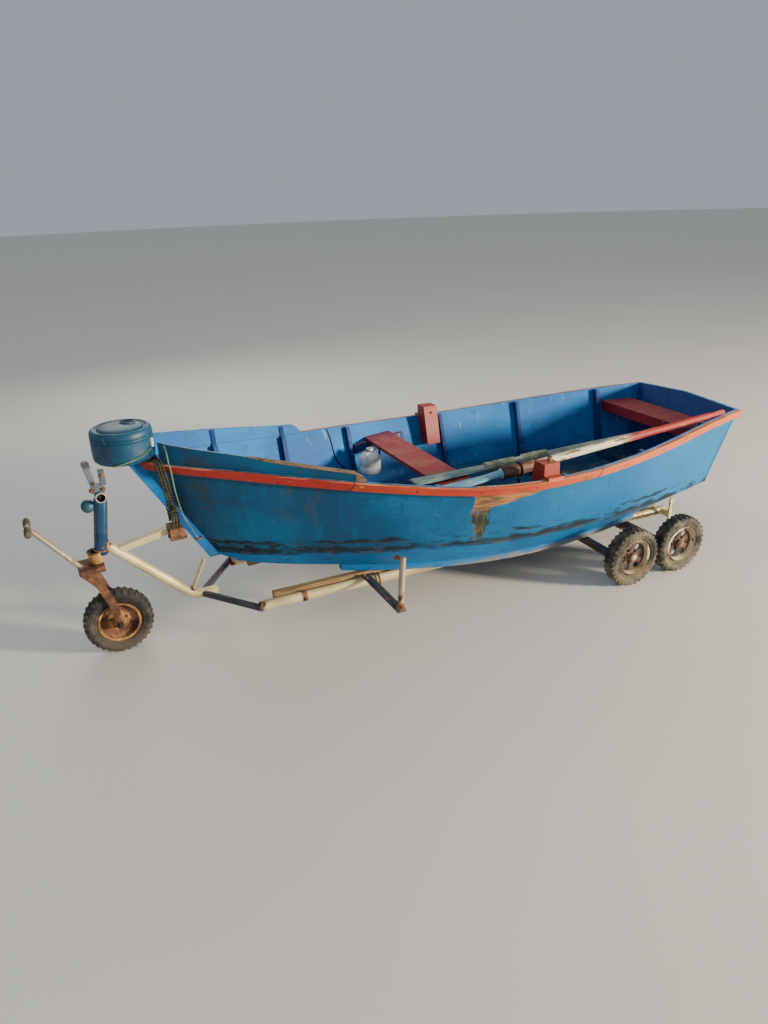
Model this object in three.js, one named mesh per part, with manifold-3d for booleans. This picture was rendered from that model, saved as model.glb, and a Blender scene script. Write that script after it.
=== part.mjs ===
// A wooden hard-chine rowing skiff standing on its beach launching trailer.
// Millimetres, +Z up, bow towards +X, port side towards +Y. The tyres stand on Z = 0.
import * as THREE from 'three';
import { mergeVertices } from 'three/addons/utils/BufferGeometryUtils.js';
import Module from 'manifold-3d';

const wasm = await Module();
wasm.setup();

// Driving dimensions

// Hull stations from the stem to the transom, port side, on the outer faces of the planks.
// Columns: sheer x, y, z; chine x, y, z; bottom edge x, y, z.
const STATIONS = [
  [2039.5, 22, 1153, 1684, 22, 520, 1660.5, 22, 478],
  [1850, 150, 1126, 1560, 100, 508, 1540, 75, 428],
  [1500, 306, 1071, 1390, 215, 497, 1380, 160, 405],
  [1100, 470, 1001, 1075, 350, 483, 1070, 265, 365],
  [700, 633, 941, 700, 488, 470, 700, 385, 327],
  [300, 762, 889, 300, 605, 455, 300, 495, 300],
  [-100, 812, 861, -100, 672, 437, -100, 556, 284],
  [-500, 803, 853, -500, 682, 420, -500, 572, 282],
  [-900, 758, 861, -900, 652, 405, -900, 548, 293],
  [-1300, 680, 880, -1300, 592, 391, -1290, 503, 311],
  [-1700, 585, 902, -1660, 510, 375, -1640, 450, 333],
  [-2088, 493, 912, -1917.3, 432, 362, -1914.2, 400, 352],
];
const PLANK = 16;
const BOTTOM = 18;
const GAP = 0.3;
const FIT = 5;
const RAIL = { height: 56, thick: 30, below: 4 };
const WASHBOARD = { foreX: 1930, aftX: 950, foreHeight: 122, aftHeight: 58, thick: 18 };
const STEM = { foot: [1728, 487], head: [2112, 1171], footZ: 474, depth: 62, halfWidth: 21.7 };
const EYE = [1775, 34, 622];
const TRANSOM = { thick: 28, crown: 26 };
const KEEL = { halfWidth: 32, depth: 24, foreX: 1560, aftX: -1880 };
const RUNNER = { width: 45, depth: 45, foreX: 980, aftX: -1180 };
const RIB = { depth: 42, width: 32, clear: 5, below: 16, floorHeight: 46 };
const RIB_STATIONS = [1550, 1050, 500, -325, -1000, -1685];
const THWART = { foreX: 350, aftX: 130, top: 800, thick: 26 };
const BENCH = { foreX: -1740, aftX: -1995, top: 800, thick: 22, board: 78 };
const BLOCK = { x: -205, length: 112, thick: 100, above: 90, below: 190, lip: 16, clear: 3 };
const FLOAT = { x: 2098, radius: 166, base: 1173, height: 198, dome: 24 };
const OAR = { grip: 19, handle: 22, shaft: 26, blade: 122, bladeThick: 15 };
const JUG = { radius: 75, neck: 26, height: 182, y: -435, base: 622 };

const TUBE = 30;
const SIDE_RAIL = { foreX: 1525, foreY: 331, aftX: -1520, aftY: 457, z: 235 };
const DRAWBAR = {
  radius: 28,
  route: [[2262, 0, 663], [1905, 0, 300], [1868, 0, 262], [1820, 0, 243], [1760, 0, 240], [1700, 0, 240]],
};
const BRACE = 21;
const REAR_POST = { outer: 556, low: 150, top: 372 };
const BUNK = { inset: 33.3, thick: 44, foreX: 1430, aftX: -1470, low: 205.3, top: 281.5 };
const CROSS_BARS = [780, -300, -1140];
const GUIDE = { x: 848, inner: 345, outer: 851, thick: 10, top: 600, post: 18, lean: 26 };
const WHEEL = { radius: 200, width: 100, rimRadius: 126, boreRadius: 15, pinRadius: 12 };
const WINDOWS = { count: 6, radius: 22, circle: 74 };
const AXLES = [-840, -1250];
const WHEEL_Y = 862;
const CRANK = 110;
const HEAD = { x: 2350, sleeveLow: 600, sleeveTop: 664, sleeveRadius: 43, boreRadius: 26, pinRadius: 21 };
// Halfway between the transom's top edge and the end of the pull bar.
const MIDDLE_X = 274.7;
const CASTOR = { x: 2298, legY: 68, legThick: 9 };

// Colours and finishes

const finish = (color, roughness, metalness = 0) =>
  new THREE.MeshStandardMaterial({ color, roughness, metalness });
const LOOK = {
  topsides: finish(0x1c6f9f, 0.5),
  bottomPaint: finish(0x1f86c0, 0.5),
  inside: finish(0x4fa3d9, 0.6),
  redPaint: finish(0xb8462f, 0.5),
  thwartPaint: finish(0xa83e45, 0.6),
  bareWood: finish(0x95693f, 0.8),
  floatPlastic: finish(0x2f6a80, 0.45),
  rope: finish(0x3e5a4c, 0.9),
  oarPaint: finish(0x8fb4c0, 0.6),
  galvanised: finish(0xd9cba2, 0.45, 0.6),
  darkSteel: finish(0x54595a, 0.6, 0.7),
  rustySteel: finish(0x9a5b35, 0.85, 0.4),
  bluePost: finish(0x2d648c, 0.5, 0.3),
  rubber: finish(0x393735, 0.9),
  rim: finish(0xc4b489, 0.6, 0.4),
};

const skiff = new THREE.Group();

function add(name, geometry, material, position = [0, 0, 0]) {
  const mesh = new THREE.Mesh(geometry, material);
  mesh.name = name;
  mesh.position.set(...position);
  skiff.add(mesh);
  return mesh;
}

const v = (x, y, z) => new THREE.Vector3(x, y, z);
const lerp = THREE.MathUtils.lerp;

// Solids

function solidFrom(points, faces) {
  const positions = [];
  let volume = 0;
  for (const [a, b, c] of faces) {
    volume += points[a].dot(points[b].clone().cross(points[c]));
  }
  for (const [a, b, c] of faces) {
    const order = volume > 0 ? [a, b, c] : [a, c, b];
    for (const index of order) positions.push(...points[index].toArray());
  }
  const geometry = new THREE.BufferGeometry();
  geometry.setAttribute('position', new THREE.Float32BufferAttribute(positions, 3));
  geometry.computeVertexNormals();
  return geometry;
}

// Rings of equal count, joined in order and capped at both ends.
function loft(rings) {
  const count = rings[0].length;
  const points = rings.flat();
  const faces = [];
  for (let ring = 0; ring + 1 < rings.length; ring++) {
    for (let side = 0; side < count; side++) {
      const a = ring * count + side;
      const b = ring * count + (side + 1) % count;
      faces.push([a, b, b + count], [a, b + count, a + count]);
    }
  }
  const last = (rings.length - 1) * count;
  for (const [a, b, c] of capOf(rings[0])) faces.push([a, c, b]);
  for (const [a, b, c] of capOf(rings[rings.length - 1])) faces.push([a + last, b + last, c + last]);
  return solidFrom(points, faces);
}

// Triangles over one ring, taken in the plane in which the ring is widest.
function capOf(ring) {
  const normal = v(0, 0, 0);
  ring.forEach((point, index) => normal.add(point.clone().cross(ring[(index + 1) % ring.length])));
  const size = normal.toArray().map(Math.abs);
  const drop = size.indexOf(Math.max(...size));
  const keep = [[1, 2], [2, 0], [0, 1]][drop];
  const flat = ring.map((point) => {
    const values = point.toArray();
    return new THREE.Vector2(values[keep[0]], values[keep[1]]);
  });
  const turned = THREE.ShapeUtils.area(flat) < 0;
  const order = flat.map((_, index) => (turned ? flat.length - 1 - index : index));
  const faces = THREE.ShapeUtils.triangulateShape(order.map((index) => flat[index]), []);
  return faces.map(([a, b, c]) => {
    const face = [order[a], order[b], order[c]];
    return turned ? [face[0], face[2], face[1]] : face;
  });
}

const signedVolume = (points, index) => {
  let volume = 0;
  const corner = (order) => v(0, 0, 0).fromBufferAttribute(points, index.getX(order));
  for (let order = 0; order < index.count; order += 3) {
    volume += corner(order).dot(corner(order + 1).cross(corner(order + 2)));
  }
  return volume;
};

// One closed solid with shared corners and its faces turned outwards.
function solidOf(geometry) {
  const bare = new THREE.BufferGeometry();
  bare.setAttribute('position', geometry.attributes.position);
  bare.setIndex(geometry.index);
  const merged = mergeVertices(bare, 1e-3);
  const corners = Array.from(merged.index.array);
  if (signedVolume(merged.attributes.position, merged.index) < 0) corners.reverse();
  const mesh = new wasm.Mesh({
    numProp: 3,
    vertProperties: Float32Array.from(merged.attributes.position.array),
    triVerts: Uint32Array.from(corners),
  });
  return new wasm.Manifold(mesh);
}

function geometryOf(solid) {
  const { vertProperties, triVerts } = solid.getMesh();
  const geometry = new THREE.BufferGeometry();
  geometry.setAttribute('position', new THREE.Float32BufferAttribute(vertProperties, 3));
  geometry.setIndex(Array.from(triVerts));
  return geometry;
}

// Welded or glued pieces that overlap, as one solid.
const fused = (geometries) => geometryOf(geometries.map(solidOf).reduce((whole, next) => whole.add(next)));

// A piece with the shapes of others cut out of it.
const cut = (geometry, others) => geometryOf(
  others.map(solidOf).reduce((left, other) => left.subtract(other), solidOf(geometry)));

const SIDES = { port: 1, starboard: -1 };
const mirrored = (ring) => ring.map((point) => v(point.x, -point.y, point.z));

// The same loft on both sides of the boat, as two meshes.
function addPair(name, rings, material) {
  add(`${name}_port`, loft(rings), material);
  add(`${name}_starboard`, loft(rings.map(mirrored)), material);
}

function block([x0, x1], [y0, y1], [z0, z1]) {
  const geometry = new THREE.BoxGeometry(x1 - x0, y1 - y0, z1 - z0);
  geometry.translate((x0 + x1) / 2, (y0 + y1) / 2, (z0 + z1) / 2);
  return geometry;
}

// A bar of rectangular section from one point to another; its depth lies nearest to Z.
function bar(from, to, width, depth) {
  const along = to.clone().sub(from);
  const side = v(0, 0, 1).cross(along).normalize();
  const up = along.clone().cross(side).normalize();
  const corners = [[-1, -1], [1, -1], [1, 1], [-1, 1]];
  const ringAt = (point) => corners.map(([s, u]) => point.clone()
    .addScaledVector(side, s * width / 2)
    .addScaledVector(up, u * depth / 2));
  return loft([ringAt(from), ringAt(to)]);
}

const disc = (radius) => new THREE.Shape().absarc(0, 0, radius, 0, Math.PI * 2);

// A round tube or rope, as a solid, along straight lines or a smooth curve through the points.
function tubeAlong(points, radius, sides, steps, smooth = false) {
  let path = new THREE.CatmullRomCurve3(points, false, 'centripetal');
  if (!smooth) {
    path = new THREE.CurvePath();
    points.slice(1).forEach((point, index) => path.add(new THREE.LineCurve3(points[index], point)));
  }
  const curveSegments = sides / 2;
  return new THREE.ExtrudeGeometry(disc(radius), { extrudePath: path, steps, curveSegments, bevelEnabled: false });
}

// A solid of revolution about Y, from a profile of radius and height that runs either way round.
function lathe(profile, segments) {
  const points = profile.map(([r, h]) => new THREE.Vector2(r, h));
  if (THREE.ShapeUtils.area(points) < 0) points.reverse();
  return new THREE.LatheGeometry(points, segments);
}

const upright = (geometry) => geometry.rotateX(Math.PI / 2);

// A flat outline in X and Z, given thickness in Y.
function sideProfile(outline, y0, y1) {
  return loft([y0, y1].map((y) => outline.map(([x, z]) => v(x, y, z))));
}

// Hull lines

const curveOf = (column) => new THREE.CatmullRomCurve3(
  STATIONS.map((row) => v(row[column], row[column + 1], row[column + 2])), false, 'catmullrom', 0.5);
const LINES = { sheer: curveOf(0), chine: curveOf(3), floor: curveOf(6) };
const LAST = STATIONS.length - 1;
const at = (line, station) => LINES[line].getPoint(station / LAST);

// The station at which a line of the hull passes X.
function stationAt(line, x) {
  let low = 0;
  let high = LAST;
  for (let turn = 0; turn < 40; turn++) {
    const middle = (low + high) / 2;
    if (at(line, middle).x > x) low = middle;
    else high = middle;
  }
  return low;
}
const pointAt = (line, x) => at(line, stationAt(line, x));

// The point where two faces meet after each has moved inwards by its own thickness.
function mitre(corner, inA, thickA, inB, thickB) {
  const det = inA.y * inB.z - inA.z * inB.y;
  if (Math.abs(det) < 1e-6) return corner.clone().addScaledVector(inA, thickA);
  const dy = (thickA * inB.z - thickB * inA.z) / det;
  const dz = (inA.y * thickB - inB.y * thickA) / det;
  return v(corner.x, corner.y + dy, corner.z + dz);
}

function inward(lower, upper) {
  const dy = upper.y - lower.y;
  const dz = upper.z - lower.z;
  const length = Math.hypot(dy, dz);
  return v(0, -dz / length, dy / length);
}

// Outer and inner corners of the planking, given the three outer points of a section.
function shell({ sheer, chine, floor }, plank = PLANK, bottom = BOTTOM) {
  const topIn = inward(chine, sheer);
  const bilgeIn = inward(floor, chine);
  return {
    sheer, chine, floor, topIn, bilgeIn,
    sheerIn: v(sheer.x, sheer.y + plank / topIn.y, sheer.z),
    chineIn: mitre(chine, topIn, plank, bilgeIn, plank),
    floorIn: mitre(floor, bilgeIn, plank, v(0, 0, 1), bottom),
  };
}

const section = (station, plank, bottom) => shell({
  sheer: at('sheer', station), chine: at('chine', station), floor: at('floor', station),
}, plank, bottom);
const sectionAtX = (x, plank, bottom) => shell({
  sheer: pointAt('sheer', x), chine: pointAt('chine', x), floor: pointAt('floor', x),
}, plank, bottom);

const toward = (from, to, distance) => from.clone().add(to.clone().sub(from).setLength(distance));
const HALF_STATIONS = Array.from({ length: 2 * LAST + 1 }, (_, index) => index / 2);

function stationsBetween(line, foreX, aftX, count) {
  const first = stationAt(line, foreX);
  const last = stationAt(line, aftX);
  return Array.from({ length: count + 1 }, (_, index) => lerp(first, last, index / count));
}

function addPlanking() {
  const topside = HALF_STATIONS.map((station) => {
    const s = section(station);
    const railFoot = toward(s.sheer, s.chine, RAIL.height);
    const middle = s.sheer.clone().lerp(s.chine, 0.5);
    const middleIn = s.sheerIn.clone().lerp(s.chineIn, 0.5);
    const low = toward(s.chine, s.sheer, GAP / 2);
    const lowIn = toward(s.chineIn, s.sheerIn, GAP / 2);
    return [s.sheer, railFoot, middle, low, lowIn, middleIn, s.sheerIn];
  });
  const bilge = HALF_STATIONS.map((station) => {
    const s = section(station);
    return [
      toward(s.chine, s.floor, GAP / 2), toward(s.floor, s.chine, GAP / 2),
      toward(s.floorIn, s.chineIn, GAP / 2), toward(s.chineIn, s.floorIn, GAP / 2),
    ];
  });
  const bottom = HALF_STATIONS.map((station) => {
    const s = section(station);
    const outer = s.floor.clone().setY(s.floor.y - GAP);
    const inner = s.floorIn.clone().setY(s.floorIn.y - GAP);
    return [outer, inner, ...mirrored([inner, outer])];
  });
  addPair('topside', topside, LOOK.topsides);
  addPair('bilge_strake', bilge, LOOK.bottomPaint);
  const runner = runnerRings();
  const pieces = [bottom, runner, runner.map(mirrored)].map(loft);
  add('bottom_planking', fused(pieces), LOOK.bottomPaint);
}

// The transom leans aft; its outline is the planking's end, with a crowned top edge.
function addTransom() {
  const end = section(LAST);
  const lean = (end.sheer.x - end.floor.x) / (end.sheer.z - end.floor.z);
  const half = [end.floor, end.chine, end.sheer];
  const crown = [0.5, 0, -0.5].map((part) =>
    v(0, end.sheer.y * part, end.sheer.z + TRANSOM.crown * (1 - part * part * 2)));
  const outline = [...half, ...crown, ...mirrored(half).reverse()];
  const ringAt = (shift) => outline.map(({ y, z }) =>
    v(end.floor.x + (z - end.floor.z) * lean - shift, y, z));
  add('transom', loft([ringAt(GAP), ringAt(GAP + TRANSOM.thick)]), LOOK.topsides);
}

function addStem() {
  const [footX, footZ] = STEM.foot;
  const [headX, headZ] = STEM.head;
  const rake = (headX - footX) / (headZ - footZ);
  const lowX = footX + (STEM.footZ - footZ) * rake;
  const outline = [
    [lowX, STEM.footZ], [headX, headZ], [headX - STEM.depth, headZ], [lowX - STEM.depth, STEM.footZ],
  ];
  const timber = sideProfile(outline, -STEM.halfWidth, STEM.halfWidth);
  const eye = new THREE.TorusGeometry(20, 5, 8, 16).translate(...EYE);
  add('stem', fused([timber, eye]), LOOK.bottomPaint);
}

function addKeel() {
  const rings = stationsBetween('floor', KEEL.foreX, KEEL.aftX, 20).map((station) => {
    const { x, z } = at('floor', station);
    const top = z - 10 * GAP;
    const low = z - KEEL.depth;
    const w = KEEL.halfWidth;
    return [v(x, -w, low), v(x, w, low), v(x, w, top), v(x, -w, top)];
  });
  add('keel', loft(rings), LOOK.bottomPaint);
}

// A runner under each edge of the bottom, sunk a little into the planks.
function runnerRings() {
  return stationsBetween('floor', RUNNER.foreX, RUNNER.aftX, 14).map((station) => {
    const { x, y, z } = at('floor', station);
    const outer = y - 5;
    const inner = outer - RUNNER.width;
    const top = z + 4;
    const low = z - RUNNER.depth;
    return [v(x, outer, top), v(x, outer, low), v(x, inner, low), v(x, inner, top)];
  });
}

function addRubRails() {
  const rings = HALF_STATIONS.map((station) => {
    const s = section(station);
    const low = toward(s.sheer, s.chine, RAIL.height);
    const top = toward(s.sheer, s.chine, RAIL.below);
    const far = GAP + RAIL.thick;
    return [
      v(low.x, low.y + GAP, low.z), v(low.x, low.y + far, low.z),
      v(top.x, top.y + far, top.z), v(top.x, top.y + GAP, top.z),
    ];
  });
  const tail = rings[rings.length - 1].map((point) => point.clone().setX(point.x - TRANSOM.thick));
  for (const [side, sign] of Object.entries(SIDES)) {
    const turn = (ring) => (sign > 0 ? ring : mirrored(ring));
    const rail = loft([...rings, tail].map(turn));
    const oarlock = loft(oarlockRings().map(turn));
    add(`rub_rail_${side}`, fused([rail, oarlock]), LOOK.redPaint);
  }
}

// The oarlock block is a post down the inside of the planking, with a lip over its top edge and the rail.
function oarlockRings() {
  return [BLOCK.x + BLOCK.length / 2, BLOCK.x - BLOCK.length / 2].map((x) => {
    const { sheer, sheerIn, chineIn } = sectionAtX(x, PLANK + BLOCK.clear);
    const foot = sheerIn.clone().lerp(chineIn, BLOCK.below / (sheerIn.z - chineIn.z));
    const outer = sheer.y + RAIL.thick - 4;
    const step = sheer.y + BLOCK.clear;
    const over = sheer.z + BLOCK.clear;
    const sunk = sheer.z - RAIL.below - 2;
    const lip = sheer.z + BLOCK.lip;
    const top = sheer.z + BLOCK.above;
    return [
      v(x, step, sunk), v(x, outer, sunk), v(x, outer, lip), v(x, sheerIn.y, lip), v(x, sheerIn.y, top),
      v(x, sheerIn.y - BLOCK.thick, top), v(x, foot.y - BLOCK.thick, foot.z), v(x, foot.y, foot.z),
      v(x, sheerIn.y, over), v(x, step, over),
    ];
  });
}

function addWashboards() {
  const rings = stationsBetween('sheer', WASHBOARD.foreX, WASHBOARD.aftX, 8).map((station, index) => {
    const { sheer, topIn } = section(station);
    const height = lerp(WASHBOARD.foreHeight, WASHBOARD.aftHeight, index / 8);
    const flare = height * topIn.z / -topIn.y;
    const low = sheer.z + 4 * GAP;
    const outer = sheer.y - FIT;
    const across = WASHBOARD.thick;
    return [
      v(sheer.x, outer, low), v(sheer.x, outer + flare, low + height),
      v(sheer.x, outer + flare - across, low + height), v(sheer.x, outer - across, low),
    ];
  });
  addPair('washboard', rings, LOOK.topsides);
}

// A frame: two ribs down the inner faces of the sides, on one floor timber.
function addFrames() {
  RIB_STATIONS.forEach((x, index) => {
    const rings = [x + RIB.width / 2, x - RIB.width / 2].map((faceX) => {
      const outer = sectionAtX(faceX, PLANK + RIB.clear, BOTTOM + RIB.clear);
      const inner = sectionAtX(faceX, PLANK + RIB.depth, BOTTOM + RIB.floorHeight);
      const heads = [outer, inner].map(({ sheerIn, chineIn }) => toward(sheerIn, chineIn, RIB.below));
      const half = [outer.floorIn, outer.chineIn, ...heads, inner.chineIn, inner.floorIn];
      const port = half.map((point) => v(faceX, point.y, point.z));
      return [...port, ...mirrored(port).reverse()];
    });
    add(`frame_${index + 1}`, loft(rings), LOOK.inside);
  });
}

// The half-width inside the planking at a height, taken at the section through X.
function insideY(x, z, clear) {
  const s = sectionAtX(x);
  const [low, high] = z > s.chineIn.z ? [s.chineIn, s.sheerIn] : [s.floorIn, s.chineIn];
  return lerp(low.y, high.y, (z - low.z) / (high.z - low.z)) - clear;
}

// A board between the two sides of the boat, its ends cut to the planking.
function crossBoard(foreX, aftX, low, top) {
  const rings = [foreX, aftX].map((x) => {
    const y0 = insideY(x, low, FIT);
    const y1 = insideY(x, top, FIT);
    return [v(x, -y0, low), v(x, y0, low), v(x, y1, top), v(x, -y1, top)];
  });
  return loft(rings);
}

function addSeats() {
  const low = THWART.top - THWART.thick;
  const riser = [THWART.foreX + 110, THWART.aftX - 110].map((x) => {
    const top = low + 1;
    const foot = top - 60;
    const y0 = insideY(x, foot, FIT);
    const y1 = insideY(x, top, FIT);
    return [v(x, y0, foot), v(x, y1, top), v(x, y1 - 30, top), v(x, y0 - 30, foot)];
  });
  const board = crossBoard(THWART.foreX, THWART.aftX, low, THWART.top);
  add('centre_thwart', fused([board, loft(riser), loft(riser.map(mirrored))]), LOOK.thwartPaint);
  const seat = crossBoard(BENCH.foreX, BENCH.aftX, BENCH.top - BENCH.thick, BENCH.top);
  const face = crossBoard(BENCH.foreX, BENCH.foreX - 20, BENCH.top - BENCH.board, BENCH.top - 1);
  add('stern_bench', fused([seat, face]), LOOK.thwartPaint);
}

function addBowPlate() {
  const rings = [2016, 1830].map((x) => {
    const s = pointAt('sheer', x);
    const y = insideY(x, s.z - 24, 2 * FIT);
    return [v(x, -y, s.z - 24), v(x, y, s.z - 24), v(x, y, s.z - 2), v(x, -y, s.z - 2)];
  });
  add('bow_plate', loft(rings), LOOK.inside);
}

// A squat plastic drum with a low dome, lashed on the stem head as a float.
function addFloat() {
  const { radius, height, dome } = FLOAT;
  const wall = [[0, 0], [radius - 16, 0], [radius - 4, 12], [radius, height - 8], [radius - 10, height]];
  const cap = [1, 2, 3, 4].map((step) => {
    const angle = step * Math.PI / 8;
    return [(radius - 10) * Math.cos(angle), height + dome * Math.sin(angle)];
  });
  cap[3][0] = 0;
  add('bow_float', upright(lathe([...wall, ...cap], 28)), LOOK.floatPlastic, [FLOAT.x, 0, FLOAT.base]);
}

// An oar: a round shaft with a thick collar and a flat blade, all in one solid of eight-sided sections.
function oar(grip, tip, bladeLength, collar) {
  const along = tip.clone().sub(grip);
  const length = along.length();
  along.normalize();
  const side = v(0, 0, 1).cross(along).normalize();
  const up = along.clone().cross(side);
  const blade = [OAR.blade / 2, OAR.bladeThick / 2];
  const round = (distance, radius) => [distance, radius, radius];
  // Distance from the grip, half-width, half-thickness.
  const rows = [
    round(0, OAR.grip), round(120, OAR.grip), round(150, OAR.handle), round(950, OAR.shaft),
    round(collar.start - 12, OAR.shaft), round(collar.start, collar.radius),
    round(collar.end, collar.radius), round(collar.end + 12, OAR.shaft), round(length - bladeLength, OAR.shaft),
    [length - bladeLength + 160, blade[0] * 0.8, blade[1] + 5], [length - 40, ...blade],
    [length, blade[0] * 0.8, blade[1]],
  ];
  const rings = rows.map(([distance, wide, thick]) => Array.from({ length: 8 }, (_, index) => {
    const angle = (index + 0.5) * Math.PI / 4;
    return grip.clone()
      .addScaledVector(along, distance)
      .addScaledVector(side, wide * Math.cos(angle) / Math.cos(Math.PI / 8))
      .addScaledVector(up, thick * Math.sin(angle) / Math.cos(Math.PI / 8));
  }));
  return loft(rings);
}

function addEquipment() {
  const outerCollar = { start: 1640, end: 1893, radius: 40 };
  const innerCollar = { start: 1335, end: 1520, radius: 34 };
  add('oar_outer', oar(v(-1915, 528, 933), v(545, 530, 803.2), 555, outerCollar), LOOK.oarPaint);
  add('oar_inner', oar(v(-1830, 372, 824), v(505, 338, 815), 620, innerCollar), LOOK.oarPaint);
  addBailer();
}

// One rope over the bow and down both sides to the chock, and a thin line from the float to the eye.
// A plastic jug for bailing, hung by its strap from the fore edge of the thwart.
function addBailer() {
  const { foreX, top } = THWART;
  const { radius, neck, height, y, base } = JUG;
  const profile = [
    [0, 0], [radius - 9, 0], [radius, 14], [radius, height - 60], [neck + 8, height - 24], [neck, height - 16],
    [neck, height], [0, height],
  ];
  const jug = upright(lathe(profile, 16)).translate(foreX + radius + 4, y, base);
  const strap = block([foreX + GAP, foreX + 8], [y - 11, y + 11], [top - 120, top - 3]);
  add('bailer', fused([jug, strap]), LOOK.galvanised);
}

function addLashings() {
  const half = [
    v(1958, 62, 1160), v(1954, 128, 1166), v(1950, 164, 1150), v(1940, 158, 1090), v(1925, 128, 1000),
    v(1910, 100, 900), v(1897, 78, 820), v(1892, 62, 760), v(1892, 54, 729),
  ];
  const route = [...mirrored(half).reverse(), ...half];
  add('bow_lashing', tubeAlong(route, 9, 8, 44, true), LOOK.rope);
  const painter = [
    v(1906, 150, 1252), v(1903, 172, 1220), v(1900, 178, 1150), v(1894, 176, 1110), v(1880, 132, 960),
    v(1855, 96, 820), v(1820, 74, 720), v(1790, 66, 650), v(1780, 65, 630),
  ];
  add('painter', tubeAlong(painter, 4, 8, 36, true), LOOK.rope);
}

// Trailer

const sideY = (x) => lerp(SIDE_RAIL.foreY, SIDE_RAIL.aftY, (SIDE_RAIL.foreX - x) / (SIDE_RAIL.foreX - SIDE_RAIL.aftX));
const span = (side, a, b) => (side > 0 ? [a, b] : [-b, -a]);
const drawbarTube = (radius) => tubeAlong(DRAWBAR.route.map((point) => v(...point)), radius, 16, 24, true);

function addTrailerFrame() {
  const { foreX, foreY, aftX, aftY, z } = SIDE_RAIL;
  for (const [name, side] of Object.entries(SIDES)) {
    const rail = tubeAlong([v(foreX, side * foreY, z), v(aftX, side * aftY, z)], TUBE, 16, 1);
    const along = [aftX + 16, aftX + 44];
    const foot = block(along, span(side, aftY + TUBE - 10, REAR_POST.outer), [215, 255]);
    const post = block(along, span(side, REAR_POST.outer - 12, REAR_POST.outer), [REAR_POST.low, REAR_POST.top]);
    add(`side_rail_${name}`, fused([rail, foot, post]), LOOK.galvanised);
  }
  add('drawbar', drawbarTube(DRAWBAR.radius), LOOK.galvanised);
  for (const [name, side] of Object.entries(SIDES)) {
    const brace = tubeAlong([v(foreX + 19.3, side * (foreY + 4), z + 1), v(1790, side * 10, z + 3)], BRACE, 12, 1);
    add(`front_brace_${name}`, cut(brace, [drawbarTube(DRAWBAR.radius + GAP)]), LOOK.darkSteel);
  }
  CROSS_BARS.forEach((x, index) => {
    const reach = sideY(x) + 24;
    add(`cross_bar_${index + 1}`, block([x - 20, x + 20], [-reach, reach], [164.5, 204.5]), LOOK.darkSteel);
  });
}

// Timber bunks stand inside the side rails and are cut to the rocker of the bottom.
function addBunks() {
  const stations = [BUNK.foreX, 700, 300, 0, -300, -600, -900, -1200, BUNK.aftX];
  const rings = stations.map((x) => {
    const top = Math.min(BUNK.top, pointAt('floor', x).z - 2);
    const outer = sideY(x) - BUNK.inset;
    const inner = outer - BUNK.thick;
    return [v(x, outer, BUNK.low), v(x, outer, top), v(x, inner, top), v(x, inner, BUNK.low)];
  });
  addPair('bunk', rings, LOOK.bareWood);
}

// A flat arm over each side rail, with an upright guide post at its end.
function addGuides() {
  const { x, inner, outer, thick, top, post: radius, lean } = GUIDE;
  const low = SIDE_RAIL.z + TUBE + GAP;
  for (const [name, side] of Object.entries(SIDES)) {
    const arm = block([x - 27, x + 27], span(side, inner, outer), [low, low + thick]);
    const postY = side * (outer - radius - 6);
    const post = tubeAlong([v(x, postY, low + 2), v(x - lean, postY, top)], radius, 12, 1);
    add(`guide_${name}`, fused([arm, post]), LOOK.darkSteel);
  }
}

// Each wheel hangs on an arm from the side rail, a crank plate and a stub axle, all welded.
function addWheelArms() {
  const plateY = WHEEL_Y - WHEEL.width / 2 - 22;
  AXLES.forEach((hubX, index) => {
    const x = hubX + CRANK;
    for (const [name, side] of Object.entries(SIDES)) {
      const arm = block([x - 22, x + 22], span(side, sideY(x) + TUBE + 1, plateY + 4), [191, 231]);
      const outline = [
        [x + 26, 185], [x + 26, 240], [x - 40, 240], [hubX - 30, 222], [hubX - 30, 176], [hubX + 40, 166],
      ];
      const plate = sideProfile(outline, side * plateY, side * (plateY + 10));
      const stub = new THREE.CylinderGeometry(WHEEL.pinRadius, WHEEL.pinRadius, 80, 16);
      stub.translate(hubX, side * (plateY + 46), WHEEL.radius);
      const place = index === 0 ? 'fore' : 'aft';
      add(`wheel_arm_${place}_${name}`, fused([arm, plate, stub]), LOOK.darkSteel);
    }
  });
}

function tyreSolid() {
  const { radius, width, rimRadius } = WHEEL;
  const w = width / 2;
  const seat = rimRadius + GAP;
  const half = [[seat, w * 0.7], [seat + 16, w * 0.84], [(radius + rimRadius) / 2 + 6, w], [radius - 16, w * 0.84], [radius - 3, w * 0.5]];
  const other = half.map(([r, h]) => [r, -h]).reverse();
  return lathe([...half, [radius, 0], ...other, half[0]], 32);
}

// The round windows in the disc of a rim.
function withWindows(rim) {
  const holes = Array.from({ length: WINDOWS.count }, (_, index) => {
    const angle = index / WINDOWS.count * 2 * Math.PI;
    const hole = new THREE.CylinderGeometry(WINDOWS.radius, WINDOWS.radius, WHEEL.width, 12);
    return hole.translate(WINDOWS.circle * Math.cos(angle), 0, WINDOWS.circle * Math.sin(angle));
  });
  return cut(rim, holes);
}

// The rim is a dished disc on a hub that is open towards its stub axle.
function rimSolid(open) {
  const { width, rimRadius, boreRadius } = WHEEL;
  const w = width / 2 * 0.78;
  const profile = [
    [0, 30], [30, 30], [34, 10], [rimRadius - 20, 12], [rimRadius - 16, w], [rimRadius - 1, w],
    [rimRadius - 1, -w], [rimRadius - 16, -w], [rimRadius - 20, 2], [34, -2], [34, -w - 8],
    [boreRadius, -w - 8], [boreRadius, 22], [0, 22],
  ];
  const geometry = lathe(profile, 20);
  return withWindows(open > 0 ? geometry : geometry.rotateX(Math.PI));
}

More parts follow.
